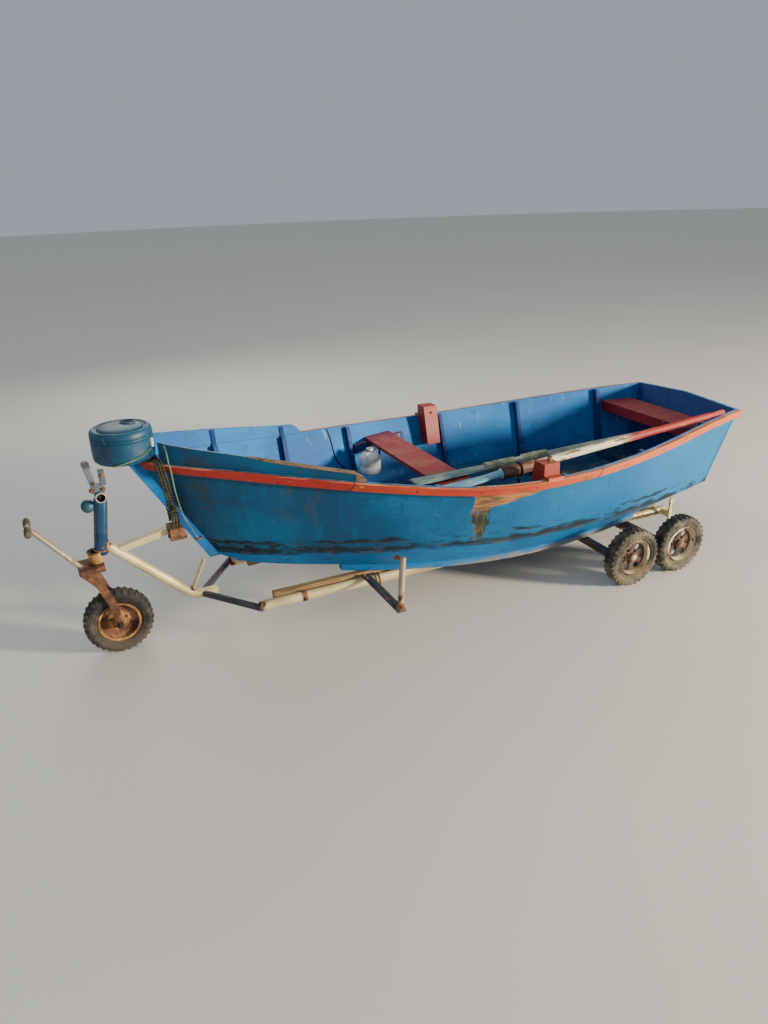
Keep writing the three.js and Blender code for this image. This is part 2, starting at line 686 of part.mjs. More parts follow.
// The castor's rim has a bore right through for its axle.
function castorRim() {
  const { width, rimRadius, boreRadius } = WHEEL;
  const w = width / 2 * 0.78;
  const half = [[boreRadius, w + 14], [32, w + 14], [34, 14], [62, 8], [rimRadius - 22, 12], [rimRadius - 16, w], [rimRadius - 1, w]];
  const other = half.map(([r, h]) => [r, -h]).reverse();
  return lathe([...half, ...other, half[0]], 20);
}

function addWheels() {
  AXLES.forEach((x, index) => {
    for (const [name, side] of Object.entries(SIDES)) {
      const place = [x, side * WHEEL_Y, WHEEL.radius];
      const which = `${index === 0 ? 'fore' : 'aft'}_${name}`;
      add(`tyre_${which}`, tyreSolid(), LOOK.rubber, place);
      add(`rim_${which}`, rimSolid(side), LOOK.rim, place);
    }
  });
  const place = [CASTOR.x, 0, WHEEL.radius];
  add('castor_tyre', tyreSolid(), LOOK.rubber, place);
  add('castor_rim', castorRim(), LOOK.rustySteel, place);
}

function addBowSupport() {
  const strut = bar(v(2222, 0, 643), v(1941.4, 0, 700), 46, 40);
  add('bow_strut', cut(strut, [drawbarTube(DRAWBAR.radius + GAP)]), LOOK.galvanised);
  const chock = [[1937, 645], [1937, 719], [1862, 719], [1841, 681], [1841, 645]];
  add('bow_chock', sideProfile(chock, -62, 62), LOOK.bareWood);
  add('forefoot_strut', bar(v(1845, 0, 287), v(1757, 0, 462), 44, 10), LOOK.galvanised);
}

// The head of the trailer: the sleeve that the castor turns in, a leaning post and its fittings.
function addHead() {
  const { x, sleeveLow, sleeveTop, sleeveRadius, boreRadius } = HEAD;
  const height = sleeveTop - sleeveLow;
  const wall = [[boreRadius, 0], [sleeveRadius, 0], [sleeveRadius, height], [boreRadius, height], [boreRadius, 0]];
  const sleeve = upright(lathe(wall, 24)).translate(x, 0, sleeveLow);
  const post = tubeAlong([v(2320, 0, sleeveTop - 22), v(2267, 0, 966)], 37, 16, 1);
  const crossTube = lathe([[21, -58], [29, -58], [29, 58], [21, 58], [21, -58]], 20).translate(2266, 0, 990);
  const knob = new THREE.SphereGeometry(38, 16, 12).translate(2338, 0, 936);
  const casting = block([2234, 2306], [-27, 27], [1013, 1050]);
  const lug = block([2222, 2254], [-20, 20], [1046, 1130]);
  const lever = [[2274, 1046], [2306, 1046], [2332, 1178], [2322, 1190], [2300, 1190], [2290, 1178]];
  const fittings = [crossTube, knob, casting, lug, sideProfile(lever, -17, 17)];
  add('head_post', fused([sleeve, post, ...fittings]), LOOK.bluePost);
}

// The castor: a pin, a crown, two cranked legs and an axle, with the pull bar fixed to the crown.
function addFork() {
  const { x, pinRadius } = HEAD;
  const { legY, legThick, x: hubX } = CASTOR;
  const pin = upright(new THREE.CylinderGeometry(pinRadius, pinRadius, 80, 20)).translate(x, 0, 600);
  const outside = legY + legThick;
  const crown = block([2316, 2458], [-outside, outside], [562, 592]);
  const outline = [
    [2456, 588], [2402, 588], [2340, 492], [2290, 335], [2276, 200], [2284, 178], [2312, 178], [2320, 200],
    [2334, 330], [2384, 474], [2456, 566],
  ];
  const legs = Object.values(SIDES).map((side) => sideProfile(outline, side * legY, side * outside));
  const axle = new THREE.CylinderGeometry(10, 10, 2 * outside + 20, 16).translate(hubX, 0, WHEEL.radius);
  const pull = tubeAlong([v(2436, 0, 578), v(2655.8, 0, 874)], 15, 12, 1);
  const grip = new THREE.CylinderGeometry(15, 15, 230, 12).translate(2658.8, 0, 878);
  add('castor_fork', fused([pin, crown, ...legs, axle, pull, grip]), LOOK.rustySteel);
}

skiff.position.x = -MIDDLE_X;

addPlanking();
addTransom();
addStem();
addKeel();
addRubRails();
addWashboards();
addFrames();
addSeats();
addBowPlate();
addFloat();
addEquipment();
addLashings();
addTrailerFrame();
addBunks();
addGuides();
addWheelArms();
addWheels();
addBowSupport();
addHead();
addFork();

export default skiff;
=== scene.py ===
# A wooden hard-chine rowing skiff on its beach launching trailer, with every finish.
# Metres, +Z up, bow towards +X, port side towards +Y; the tyres stand on Z = 0.
import functools
import math

import bmesh
import bpy
from mathutils import Matrix, Quaternion, Vector, noise
from mathutils.bvhtree import BVHTree


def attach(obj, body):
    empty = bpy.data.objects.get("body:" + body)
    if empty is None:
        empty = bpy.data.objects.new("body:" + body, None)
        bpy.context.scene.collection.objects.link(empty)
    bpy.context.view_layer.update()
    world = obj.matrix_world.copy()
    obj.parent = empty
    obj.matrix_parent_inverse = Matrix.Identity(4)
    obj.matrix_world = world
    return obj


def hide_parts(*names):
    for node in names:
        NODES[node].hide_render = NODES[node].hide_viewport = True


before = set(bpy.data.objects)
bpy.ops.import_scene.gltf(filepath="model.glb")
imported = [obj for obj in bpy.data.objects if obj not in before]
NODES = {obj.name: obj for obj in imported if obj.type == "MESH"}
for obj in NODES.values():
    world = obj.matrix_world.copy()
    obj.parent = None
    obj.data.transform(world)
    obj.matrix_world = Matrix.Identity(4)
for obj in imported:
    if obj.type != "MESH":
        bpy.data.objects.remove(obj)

# Without a seed, the noise behind uneven surfaces would start from the clock.
noise.seed_set(1)

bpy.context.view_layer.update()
BOAT = "boat_and_trailer"
SIDES = {"port": 1, "starboard": -1}

# The drawing's zero lies this far forward of the frame's.
MIDDLE = 0.2747


def place(x, y, z):
    """A point of the drawing, in metres, in the frame."""
    return Vector((x - MIDDLE, y, z))


# Driving sizes, the drawing's own
TUBE = 0.030
SIDE_RAIL = {"fore": (1.525, 0.331), "aft": (-1.520, 0.457), "z": 0.235}
CROSS_BARS = [0.780, -0.300, -1.140]
CROSS_BAR = {"half": 0.020, "low": 0.1645}
WHEEL_RADIUS = 0.200
WHEEL_WIDTH = 0.100
RIM_RADIUS = 0.126
LUGS = 32
WASHER = 0.003
AXLES = {"fore": -0.840, "aft": -1.250}
WHEEL_Y = 0.862
CRANK = 0.110
DRAWBAR_END = (2.262, 0, 0.663)
STRUT_FOOT = (1.847, 0, 0.284)
CASTOR_X = 2.298
HEAD_X = 2.350
FLOAT = {"x": 2.098, "base": 1.173, "radius": 0.166, "dome": 0.024}
OUTER_OAR = {"grip": place(-1.915, 0.528, 0.933), "tip": place(0.545, 0.530, 0.8032), "blade": 0.555,
             "collar": (1.640, 1.893, 0.040)}
INNER_OAR = {"grip": place(-1.830, 0.372, 0.824), "tip": place(0.505, 0.338, 0.815), "blade": 0.620,
             "collar": (1.335, 1.520, 0.034)}
JUG = {"x": 0.429, "y": -0.435, "base": 0.622, "radius": 0.075, "neck": 0.026, "height": 0.182}
RIBS = [1.550, 1.050, 0.500, -0.325, -1.000, -1.685]
BLOCK = {"x": -0.205, "half": 0.056}
GUIDE = {"x": 0.848, "outer": 0.851, "post": 0.018, "foot": 0.2765, "lean": 0.026, "top": 0.600}


def rgb(red, green, blue):
    """A screen colour of 0 to 255 as the shader's own numbers."""
    def linear(value):
        value /= 255
        return value / 12.92 if value <= 0.04045 else ((value + 0.055) / 1.055) ** 2.4
    return (linear(red), linear(green), linear(blue), 1.0)


# Shader arithmetic

def operation(kind, swapped=False):
    """A method that adds a Math node."""
    def apply(signal, other=0):
        first, second = (other, signal) if swapped else (signal, other)
        made = signal.finish.node("Math", {"operation": kind}, {0: first, 1: second})
        return Signal(signal.finish, made.outputs[0])
    return apply


class Signal:
    """A socket of a finish. Arithmetic on it adds Math nodes."""

    def __init__(self, finish, socket):
        self.finish = finish
        self.socket = socket

    __add__ = operation("ADD")
    __radd__ = operation("ADD", swapped=True)
    __sub__ = operation("SUBTRACT")
    __rsub__ = operation("SUBTRACT", swapped=True)
    __mul__ = operation("MULTIPLY")
    __rmul__ = operation("MULTIPLY", swapped=True)
    __mod__ = operation("FLOORED_MODULO")
    __abs__ = operation("ABSOLUTE")
    root = operation("SQRT")
    highest = operation("MAXIMUM")

    def step(self, low, high):
        """0 where the signal is at low, 1 where it is at high, smooth between."""
        if low > high:
            return 1 - self.step(high, low)
        settings = {"interpolation_type": "SMOOTHSTEP", "clamp": True}
        made = self.finish.node("MapRange", settings, {"Value": self, "From Min": low, "From Max": high})
        return Signal(self.finish, made.outputs["Result"])


class Finish:
    """One material, written as expressions on its signals and painted in layers."""

    def __init__(self, name):
        self.material = bpy.data.materials.new(name)
        self.material.use_nodes = True
        self.tree = self.material.node_tree
        self.shader = self.tree.nodes["Principled BSDF"]
        self.paint = None
        self.coordinates = self.node("TexCoord").outputs["Object"]
        self.x, self.y, self.z = self.split(self.coordinates)
        self.facing_x, _, self.facing_up = self.split(self.node("NewGeometry").outputs["Normal"])

    def split(self, vector):
        parts = self.node("SeparateXYZ", {}, {0: vector}).outputs
        return [Signal(self, parts[index]) for index in range(3)]

    def node(self, kind, settings=None, inputs=None):
        made = self.tree.nodes.new("ShaderNode" + kind)
        for name, value in (settings or {}).items():
            setattr(made, name, value)
        for name, value in (inputs or {}).items():
            self.feed(made.inputs[name], value)
        return made

    def feed(self, socket, value):
        if isinstance(value, Signal):
            value = value.socket
        if isinstance(value, bpy.types.NodeSocket):
            self.tree.links.new(value, socket)
        else:
            socket.default_value = value

    def noise(self, scale, detail=4, along=1, across=1, down=1, shift=0, roughness=0.55):
        """Noise, drawn out in each direction whose own factor is below 1."""
        moved = self.node("Mapping", {}, {"Vector": self.coordinates, "Scale": (along, across, down),
                                          "Location": (shift, shift * 0.7, -shift)})
        inputs = {"Vector": moved.outputs[0], "Scale": scale, "Detail": detail, "Roughness": roughness}
        return Signal(self, self.node("TexNoise", {}, inputs).outputs[0])

    def mix(self, share, first, second):
        """A blend of two colours, each a signal or a screen colour."""
        first, second = (rgb(*colour) if isinstance(colour, tuple) else colour for colour in (first, second))
        made = self.node("Mix", {"data_type": "RGBA"}, {0: share, 6: first, 7: second})
        return Signal(self, made.outputs[2])

    def lay(self, share, colour):
        """A further layer over the paint so far."""
        self.paint = self.mix(share, self.paint, colour)

    def done(self, rough, height=None, depth=0.001, metal=0.0):
        self.feed(self.shader.inputs["Base Color"], self.paint)
        self.feed(self.shader.inputs["Roughness"], rough)
        self.feed(self.shader.inputs["Metallic"], metal)
        if height is not None:
            bump = self.node("Bump", {}, {"Height": height, "Distance": depth, "Strength": 1.0})
            self.feed(self.shader.inputs["Normal"], bump.outputs[0])
        return self.material


# Finishes

RUST = (120, 62, 34)
DARK_RUST = (62, 36, 26)
BARE_WOOD = (146, 100, 58)
GREY_WOOD = (126, 114, 96)
# Dark grime for cracks, joints and steel; red paint also takes it as painted shade under its downward faces.
GRIME_AND_SHADE = (28, 26, 22)
TAR = (12, 24, 28)
SAND = (190, 170, 132)
UNDERCOAT = (112, 158, 180)

# The chine climbs this much for each metre towards the bow, from this height at the frame's zero.
CHINE_Z = 0.4514
CHINE_SLOPE = 0.0408
# The rail's lower edge amidships, and the fore end of the bare patch under it
RAIL_FOOT = 0.806
PATCH_START = 0.015
# Where rust and moss have run down the side
RUSTY_X = 0.95
MOSSY_X = 1.50
# The outer oar: where its red paint ends, and the ends of its collar
OUTER_RED_END = -1.30
OUTER_COLLAR = (-0.552, -0.297)


def boat_paint(name, colour, faded, deep, chips=0.74, gloss=0.46):
    """Oil paint on planks: brush marks along the boat, cloudy fading, small chips down to the undercoat."""
    f = Finish(name)
    cloud = f.noise(1.7, 5)
    brush = f.noise(22, 5, along=0.12)
    streak = f.noise(9, 4, down=0.12, shift=3)
    chip = f.noise(26, 6, along=0.45, shift=7).step(chips, chips + 0.03)
    f.paint = f.mix(cloud.step(0.36, 0.66), colour, faded)
    f.lay(brush.step(0.5, 0.72) * 0.38, deep)
    f.lay(streak.step(0.54, 0.70) * 0.45, faded)
    f.lay(chip * 0.8, UNDERCOAT)
    f.shader.inputs["Specular IOR Level"].default_value = 0.35
    return f, gloss + cloud * 0.18 + chip * 0.3, brush * 0.5 + cloud * 0.4 - chip * 1.2


def above_chine(f):
    return f.z - (f.x * CHINE_SLOPE + CHINE_Z)


def highest_of(signals):
    return functools.reduce(Signal.highest, signals)


def nail_row(f, rib):
    """Nail heads through the side at a rib, one above the other."""
    across = abs(f.x - (rib - MIDDLE))
    along = abs((f.z * 11.0) % 1.0 - 0.5) * 0.09
    return (across * across + along * along).root().step(0.0065, 0.0035)


def topside_finish():
    f, rough, height = boat_paint("topside_blue", (0, 58, 94), (8, 92, 130), (0, 36, 62))
    # Lighter towards the stern: partly painted light falling from the stern, partly fading.
    f.lay(f.x.step(1.2, -2.0) * 0.8, (0, 110, 168))
    above = above_chine(f)
    ragged = f.noise(16, 6, along=0.35, shift=11)
    broken = f.noise(6, 4, along=0.45)

    f.lay(f.noise(30, 3, down=0.04, shift=5).step(0.58, 0.70) * 0.30, (8, 50, 70))
    runs = f.noise(30, 4, down=0.06, shift=15)
    rusty = runs.step(0.52, 0.66) * abs(f.x - RUSTY_X).step(0.20, 0.04) * f.z.step(0.66, 0.84)
    f.lay(rusty * 0.42, (70, 62, 22))
    moss = (ragged + runs * 0.3).step(0.62, 0.74)
    f.lay(moss * abs(f.x - MOSSY_X).step(0.13, 0.03) * f.z.step(0.70, 0.95) * 0.6, (34, 46, 34))

    low_line = (above + (ragged - 0.5) * 0.100).step(0.046, 0.024) * broken.step(0.32, 0.46)
    high_line = abs(above - 0.078 + (ragged - 0.5) * 0.09).step(0.017, 0.005) * broken.step(0.46, 0.56)
    smudge = f.noise(16, 6, along=0.32, down=1.2, shift=27).step(0.45, 0.55) * above.step(0.125, 0.050)
    smudge = smudge * f.x.step(0.70, 1.05)
    scars = f.noise(34, 5, along=0.16, down=1.6, shift=21).step(0.56, 0.62) * above.step(0.13, 0.03)
    worn = highest_of([low_line, high_line, scars, smudge])
    f.lay(worn * 0.92, f.mix(ragged.step(0.52, 0.66), TAR, (48, 52, 40)))

    down = RAIL_FOOT - f.z
    behind = PATCH_START - f.x
    port = f.y.step(0.0, 0.1)
    patch = (down + behind * 0.21 + (ragged - 0.5) * 0.06).step(0.118, 0.100) * behind.step(-0.008, 0.008)
    narrow = abs(f.x + 0.030 + down * 0.10) + (runs - 0.5) * 0.16 + (ragged - 0.5) * 0.05
    drip = narrow.step(0.052, 0.034) * (down + (ragged - 0.5) * 0.12).step(0.37, 0.28)
    bare = patch.highest(drip) * port
    wood = f.mix(f.noise(40, 5, along=0.15).step(0.4, 0.62), (172, 116, 62), (98, 76, 48))
    stained = f.mix(runs.step(0.42, 0.58), (42, 48, 28), (92, 78, 40))
    f.lay(bare * 0.95, f.mix(down.step(0.06, 0.14), wood, stained))

    scratch = f.noise(70, 2, along=0.10, shift=31).step(0.70, 0.73) * f.noise(3, 2).step(0.45, 0.6)
    f.lay(scratch * 0.35, (70, 140, 176))
    edge = f.facing_up.step(0.70, 0.95) * f.noise(20, 4, along=0.3, shift=4).step(0.35, 0.55)
    f.lay(edge * 0.7, (128, 168, 178))
    nails = highest_of([nail_row(f, rib) for rib in RIBS])
    f.lay(nails * 0.45, (6, 44, 66))
    return f.done(rough + bare * 0.3 + worn * 0.25, height - worn * 1.5 - bare * 1.2 - nails * 1.4, 0.0016)


def lower_finish():
    f, rough, height = boat_paint("bottom_blue", (0, 86, 140), (0, 108, 164), (0, 52, 92))
    ragged = f.noise(18, 6, along=0.3, shift=2)
    scrape = f.noise(30, 5, along=0.10, down=1.4, shift=17).step(0.58, 0.66)
    edge = (above_chine(f) + (ragged - 0.5) * 0.05).step(-0.026, -0.006)
    edge = edge * f.noise(6, 3, along=0.5).step(0.36, 0.5)
    worn = edge.highest(scrape * f.noise(4, 3, shift=6).step(0.50, 0.66))
    f.lay(worn * 0.9, f.mix(ragged.step(0.50, 0.64), TAR, (84, 72, 56)))
    f.lay(f.z.step(0.30, 0.235) * ragged.step(0.40, 0.56), GREY_WOOD)
    return f.done(rough + worn * 0.2, height - worn, 0.0014)


def stem_finish():
    """Mid blue on the sides of the stem, pale and scraped along its fore edge, with painted shade at its
    foot.
    """
    f, rough, height = boat_paint("stem_blue", (2, 80, 144), (10, 108, 172), (0, 50, 92))
    fore = f.facing_x.step(0.30, 0.75)
    bare = f.noise(18, 5, down=0.3, shift=5).step(0.40, 0.60)
    f.lay(fore * 0.85, f.mix(bare, (96, 172, 204), (150, 166, 156)))
    # Painted shade: darker towards the foot of the stem.
    foot = (f.z + (bare - 0.5) * 0.04).step(0.56, 0.48)
    f.lay(foot * 0.6, (30, 60, 78))
    return f.done(rough, height - fore * bare, 0.0014)


def inside_finish(name, *colours):
    f, rough, height = boat_paint(name, *colours, chips=0.75, gloss=0.55)
    low = (f.z + (f.noise(5, 5, shift=13) - 0.5) * 0.12).step(0.50, 0.36)
    # Painted shade: darker low in the hull.
    f.lay(low * 0.7, (28, 56, 74))
    sand = f.noise(8, 7, shift=4, roughness=0.7).step(0.50, 0.60) * f.facing_up.step(0.6, 0.9) * low
    f.lay(sand * 0.6, (128, 112, 84))
    f.lay(f.noise(30, 3, down=0.05, shift=8).step(0.64, 0.74) * 0.30, (170, 200, 212))
    # Painted highlight: upward faces above 0.8 m turn paler, in the undercoat's colour.
    f.lay(f.facing_up.step(0.85, 0.97) * f.z.step(0.80, 0.84) * 0.4, UNDERCOAT)
    return f.done(rough + sand * 0.3, height, 0.0012)


def red_finish(name, colour, lit_and_faded, deep, joints=(), dust=0.0, top_wear_and_highlight=0.0, paler_aft_and_lit=0.0):
    """Red paint, orange on its upper faces as painted highlight and faded orange aft of the foremost joint;
    it can pale towards the stern, partly as painted light.
    """
    f = Finish(name)
    cloud = f.noise(2.6, 5, along=0.5)
    brush = f.noise(34, 5, along=0.10, shift=2)
    # Painted highlight on the upper faces, and real fading aft of the foremost joint.
    highlight_and_fade = f.facing_up.step(-0.1, 0.6) * 0.6 + f.x.step(0.76, 0.70) * 0.45 + (cloud - 0.5) * 1.1
    f.paint = f.mix(highlight_and_fade.step(0.15, 1.0), colour, lit_and_faded)
    # Paler towards the stern: partly fading, partly painted light falling from the stern.
    f.lay(f.x.step(0.2, -1.4) * paler_aft_and_lit, (220, 132, 62))
    # Pale upward faces: partly paint worn through, partly painted highlight.
    worn_and_highlit_top = f.facing_up.step(0.50, 0.85) * f.noise(14, 5, along=0.25, shift=16).step(0.44, 0.60)
    f.lay(worn_and_highlit_top * top_wear_and_highlight, (236, 176, 128))
    f.lay(brush.step(0.52, 0.7) * 0.35, deep)
    chip = f.noise(24, 6, along=0.30, shift=5).step(0.67, 0.70)
    f.lay(chip * 0.85, f.mix(f.noise(50, 3, along=0.2).step(0.4, 0.6), BARE_WOOD, (206, 168, 108)))
    height = brush * 0.4 + cloud * 0.3 - chip * 1.3
    if joints:
        gap = highest_of([abs(f.x - joint + (f.z - 0.9) * 0.5).step(0.0045, 0.0020) for joint in joints])
        f.lay(gap, GRIME_AND_SHADE)
        height = height - gap * 4
    f.lay(f.noise(12, 5, along=0.4, shift=9).step(0.56, 0.72) * 0.35, DARK_RUST)
    # Painted shade: faces turned downwards are darkened.
    f.lay((1 - f.facing_up).step(1.2, 1.9) * 0.5, GRIME_AND_SHADE)
    dusty = f.facing_up.step(0.6, 0.95) * f.noise(7, 5, shift=6).step(0.40, 0.62) * dust
    f.lay(dusty, SAND)
    return f.done(0.42 + cloud * 0.2 + chip * 0.3 + dusty * 0.3, height, 0.0016)


def wood_finish(name, light, dark, along=0.06, across=1):
    f = Finish(name)
    ring = f.noise(34, 6, along, across, roughness=0.7)
    crack = f.noise(60, 3, along * 0.4, across, shift=8).step(0.62, 0.66)
    f.paint = f.mix(ring.step(0.35, 0.65), light, dark)
    f.lay(f.noise(5, 4, along, across, shift=3).step(0.45, 0.62) * 0.5, GREY_WOOD)
    f.lay(crack * 0.8, GRIME_AND_SHADE)
    return f.done(0.72 + ring * 0.15, ring - crack * 2, 0.0018)


def steel_finish(name, colour, worn, rust_share=0.64, gloss=0.45, rusty_ends=(), rust_aft=None):
    """Paint or zinc on steel, with rust that spreads from scratches, from cut ends and towards the stern."""
    f = Finish(name)
    cloud = f.noise(4, 5)
    fine = f.noise(60, 5, shift=3)
    amount = f.noise(11, 7, shift=9, roughness=0.65)
    for end in rusty_ends:
        amount = amount + abs(f.x - end).step(0.07, 0.0) * 0.14
    if rust_aft is not None:
        amount = amount + f.x.step(rust_aft + 0.25, rust_aft - 0.25) * 0.12
    rusted = amount.step(rust_share, rust_share + 0.06)
    f.paint = f.mix(cloud.step(0.35, 0.65), colour, worn)
    f.lay(fine.step(0.60, 0.7) * 0.25, GRIME_AND_SHADE)
    f.lay(amount.step(rust_share - 0.06, rust_share + 0.02) * 0.45, (168, 124, 80))
    f.lay(rusted, f.mix(fine.step(0.4, 0.62), RUST, DARK_RUST))
    rough = gloss + cloud * 0.15 + rusted * 0.35
    return f.done(rough, fine * (rusted * 1.5 + 0.3), 0.0012, metal=(1 - rusted) * 0.30)


def rust_finish(name, light, dark, primer):
    f = Finish(name)
    patch = f.noise(7, 7, roughness=0.7)
    pits = f.noise(80, 5, shift=5)
    f.paint = f.mix(patch.step(0.35, 0.62), light, dark)
    f.lay(f.noise(9, 5, shift=12).step(0.55, 0.62) * 0.7, primer)
    f.lay(pits.step(0.58, 0.7) * 0.6, RUST)
    return f.done(0.82 - patch * 0.15, pits + patch, 0.0014, metal=0.15)


def rubber_finish(name, dusty):
    f = Finish(name)
    dust = f.noise(9, 6, roughness=0.65)
    fine = f.noise(90, 4, shift=4)
    share = (dust + fine * 0.2 + f.z.step(0.20, 0.03) * 0.12).step(0.52, 0.76)
    f.paint = f.mix(share * dusty, (30, 29, 28), (140, 126, 100))
    return f.done(0.78 + share * 0.15, fine * 0.6 + dust * 0.3, 0.0008)


def plastic_finish(name, colour, faded, top, gloss=0.38):
    f = Finish(name)
    cloud = f.noise(6, 5)
    scuff = f.noise(50, 5, down=0.4, shift=6).step(0.62, 0.72)
    f.paint = f.mix(cloud.step(0.35, 0.65), colour, faded)
    f.lay(f.noise(22, 3, down=0.08, shift=2).step(0.52, 0.7) * 0.35, faded)
    # Painted highlight: the upper faces lean to the lighter top colour.
    f.lay(f.facing_up.step(0.3, 0.9) * 0.6, top)
    f.lay(scuff * 0.3, (160, 180, 184))
    return f.done(gloss + cloud * 0.2 + scuff * 0.2, scuff * 0.4 + cloud, 0.0008)


def rope_finish(name, colour, dark):
    f = Finish(name)
    fibre = f.noise(260, 4)
    f.paint = f.mix(f.noise(14, 4, shift=5).step(0.35, 0.65), colour, dark)
    f.lay(fibre.step(0.5, 0.7) * 0.3, (150, 156, 126))
    return f.done(0.88, fibre, 0.0009)


def outer_oar_finish():
    """From the grip to the blade: red paint, worn cream, a brown collar and a pale blue blade."""
    f = Finish("outer_oar_paint")
    along = f.x + (f.noise(30, 4) - 0.5) * 0.05
    wear = f.noise(36, 6, along=0.18, shift=3)
    red = f.mix(wear.step(0.5, 0.66), (158, 40, 32), (208, 108, 76))
    cream = f.mix(wear.step(0.50, 0.62), (228, 216, 182), (112, 96, 70))
    collar = f.mix(wear.step(0.42, 0.6), (124, 84, 56), (66, 46, 34))
    blade = f.mix(wear.step(0.5, 0.66), (122, 176, 198), (190, 200, 190))
    f.paint = f.mix(along.step(OUTER_RED_END - 0.05, OUTER_RED_END + 0.05), red, cream)
    for edge, finish in zip(OUTER_COLLAR, (collar, blade)):
        f.lay(f.x.step(edge - 0.004, edge + 0.004), finish)
    chip = f.noise(28, 5, along=0.2, shift=9).step(0.66, 0.70)
    f.lay(chip * 0.7, (92, 78, 60))
    return f.done(0.55 + wear * 0.2, wear - chip, 0.0012)


def inner_oar_finish():
    f = Finish("inner_oar_paint")
    wear = f.noise(36, 6, along=0.18, shift=13)
    shaft = f.mix(wear.step(0.42, 0.6), (128, 150, 146), (190, 188, 162))
    blade = f.mix(wear.step(0.46, 0.64), (98, 134, 128), (168, 176, 156))
    f.paint = f.mix(f.x.step(-0.35, -0.30), shaft, blade)
    f.lay(f.x.step(0.205, 0.225), (20, 48, 52))
    chip = f.noise(30, 5, along=0.2, shift=5).step(0.62, 0.67)
    f.lay(chip * 0.7, (104, 92, 68))
    return f.done(0.6 + wear * 0.2, wear - chip, 0.0012)


# The finishes, grouped under slot names
BY_SLOT = {
    "blue_paint": {"topside": topside_finish()},
    "bottom_paint": {"lower": lower_finish(), "stem": stem_finish()},
    "inside_paint": {
        "inside": inside_finish("inside_blue", (0, 92, 160), (10, 120, 186), (0, 60, 116)),
        # Painted shade: a darker copy of the inside paint, for the ribs, bow board cleats and thwart risers.
        "shade": inside_finish("rib_shade_blue", (2, 46, 102), (8, 66, 126), (0, 28, 66)),
        # Painted shade: a darker copy of the inside paint, for the transom's inner face.
        "transom_face_shade": inside_finish("transom_shade_blue", (2, 54, 116), (10, 76, 140), (0, 32, 74)),
    },
    "red_paint": {
        "rail": red_finish("rail_red", (156, 26, 20), (212, 86, 30), (104, 22, 18),
                           joints=(0.735, -0.875), top_wear_and_highlight=0.7, paler_aft_and_lit=0.45),
        "block": red_finish("block_red", (134, 30, 22), (170, 58, 34), (84, 22, 20), top_wear_and_highlight=0.15),
    },
    "thwart_paint": {
        "thwart": red_finish("thwart_red", (138, 24, 32), (158, 40, 42), (90, 18, 26), dust=0.12, top_wear_and_highlight=0.06),
        "bench": red_finish("bench_red", (128, 22, 30), (158, 40, 42), (80, 16, 24), dust=0.10, top_wear_and_highlight=0.04),
    },
    "bare_wood": {
        "wood": wood_finish("weathered_wood", (172, 140, 96), (112, 86, 58)),
        "cap_wood": wood_finish("cap_wood", (158, 122, 84), (84, 62, 44)),
        "cross_wood": wood_finish("chock_wood", (142, 98, 58), (88, 60, 38), along=1, across=0.08),
    },
    "float_plastic": {
        "drum": plastic_finish("drum_plastic", (4, 54, 82), (10, 74, 102), (30, 90, 114)),
        # Painted shade: near-black for the drum's open hole.
        "opening": plastic_finish("drum_hole_black_shade", (6, 8, 10), (4, 5, 6), (4, 5, 6), gloss=0.8),
        "white": plastic_finish("white_plastic", (226, 224, 214), (190, 186, 172), (232, 230, 222)),
    },
    "white_plastic": {
        "jug": plastic_finish("jug_plastic", (240, 240, 232), (222, 220, 208), (242, 242, 236)),
    },
    "rope": {
        "dark_rope": rope_finish("dark_rope", (66, 64, 40), (28, 30, 22)),
        "pale_line": rope_finish("pale_line", (116, 142, 108), (74, 100, 78)),
        "black_line": rope_finish("black_line", (24, 34, 42), (10, 14, 18)),
        "twine": rope_finish("pale_twine", (176, 178, 146), (110, 124, 104)),
    },
    "oar_paint": {"oar_outer": outer_oar_finish(), "oar_inner": inner_oar_finish()},
    "cream_steel": {
        "cream": steel_finish("cream_tube", (226, 206, 156), (202, 180, 130), 0.65,
                              rusty_ends=(1.25, 2.0), rust_aft=-1.30),
    },
    "dark_steel": {
        "dark": steel_finish("dark_bar", (62, 60, 64), (90, 86, 88), gloss=0.5),
        "pale_post": steel_finish("pale_post", (152, 138, 116), (186, 172, 144), 0.58),
    },
    "blue_steel": {
        "blue_post": steel_finish("blue_post", (6, 50, 94), (48, 88, 112), 0.60, gloss=0.36),
        "blue_knob": steel_finish("blue_knob", (24, 66, 94), (58, 92, 108), gloss=0.4),
        "grey_cast": steel_finish("grey_casting", (88, 100, 108), (120, 128, 130), 0.66),
        "ring": steel_finish("bright_ring", (196, 192, 178), (160, 154, 138)),
    },
    "rusty_steel": {
        "rust": rust_finish("rusty_steel", (138, 88, 58), DARK_RUST, (150, 108, 80)),
        "ochre": rust_finish("ochre_sleeve", (190, 142, 76), (112, 78, 40), (206, 168, 104)),
        "iron": rust_finish("dark_iron", (62, 48, 40), (30, 25, 23), (86, 62, 50)),
        # Near-black rust: the tubes' own rust, darkened as painted shade for the insides of tube ends and
        # holes.
        "hollow": rust_finish("rusty_bore_shade", (34, 26, 22), (14, 11, 10), (40, 30, 26)),
    },
    "tyre_rubber": {
        "rubber": rubber_finish("tyre_rubber", 0.55),
        "clean_rubber": rubber_finish("castor_rubber", 0.25),
    },
    "rim_paint": {
        "rim": steel_finish("cream_rim", (214, 202, 168), (184, 168, 132), 0.58),
        "rim_centre": rust_finish("rim_centre", (104, 72, 50), (44, 33, 28), (128, 100, 74)),
    },
}
FINISHES = {key: finish for group in BY_SLOT.values() for key, finish in group.items()}


# Mesh helpers

UP = Vector((0, 0, 1))


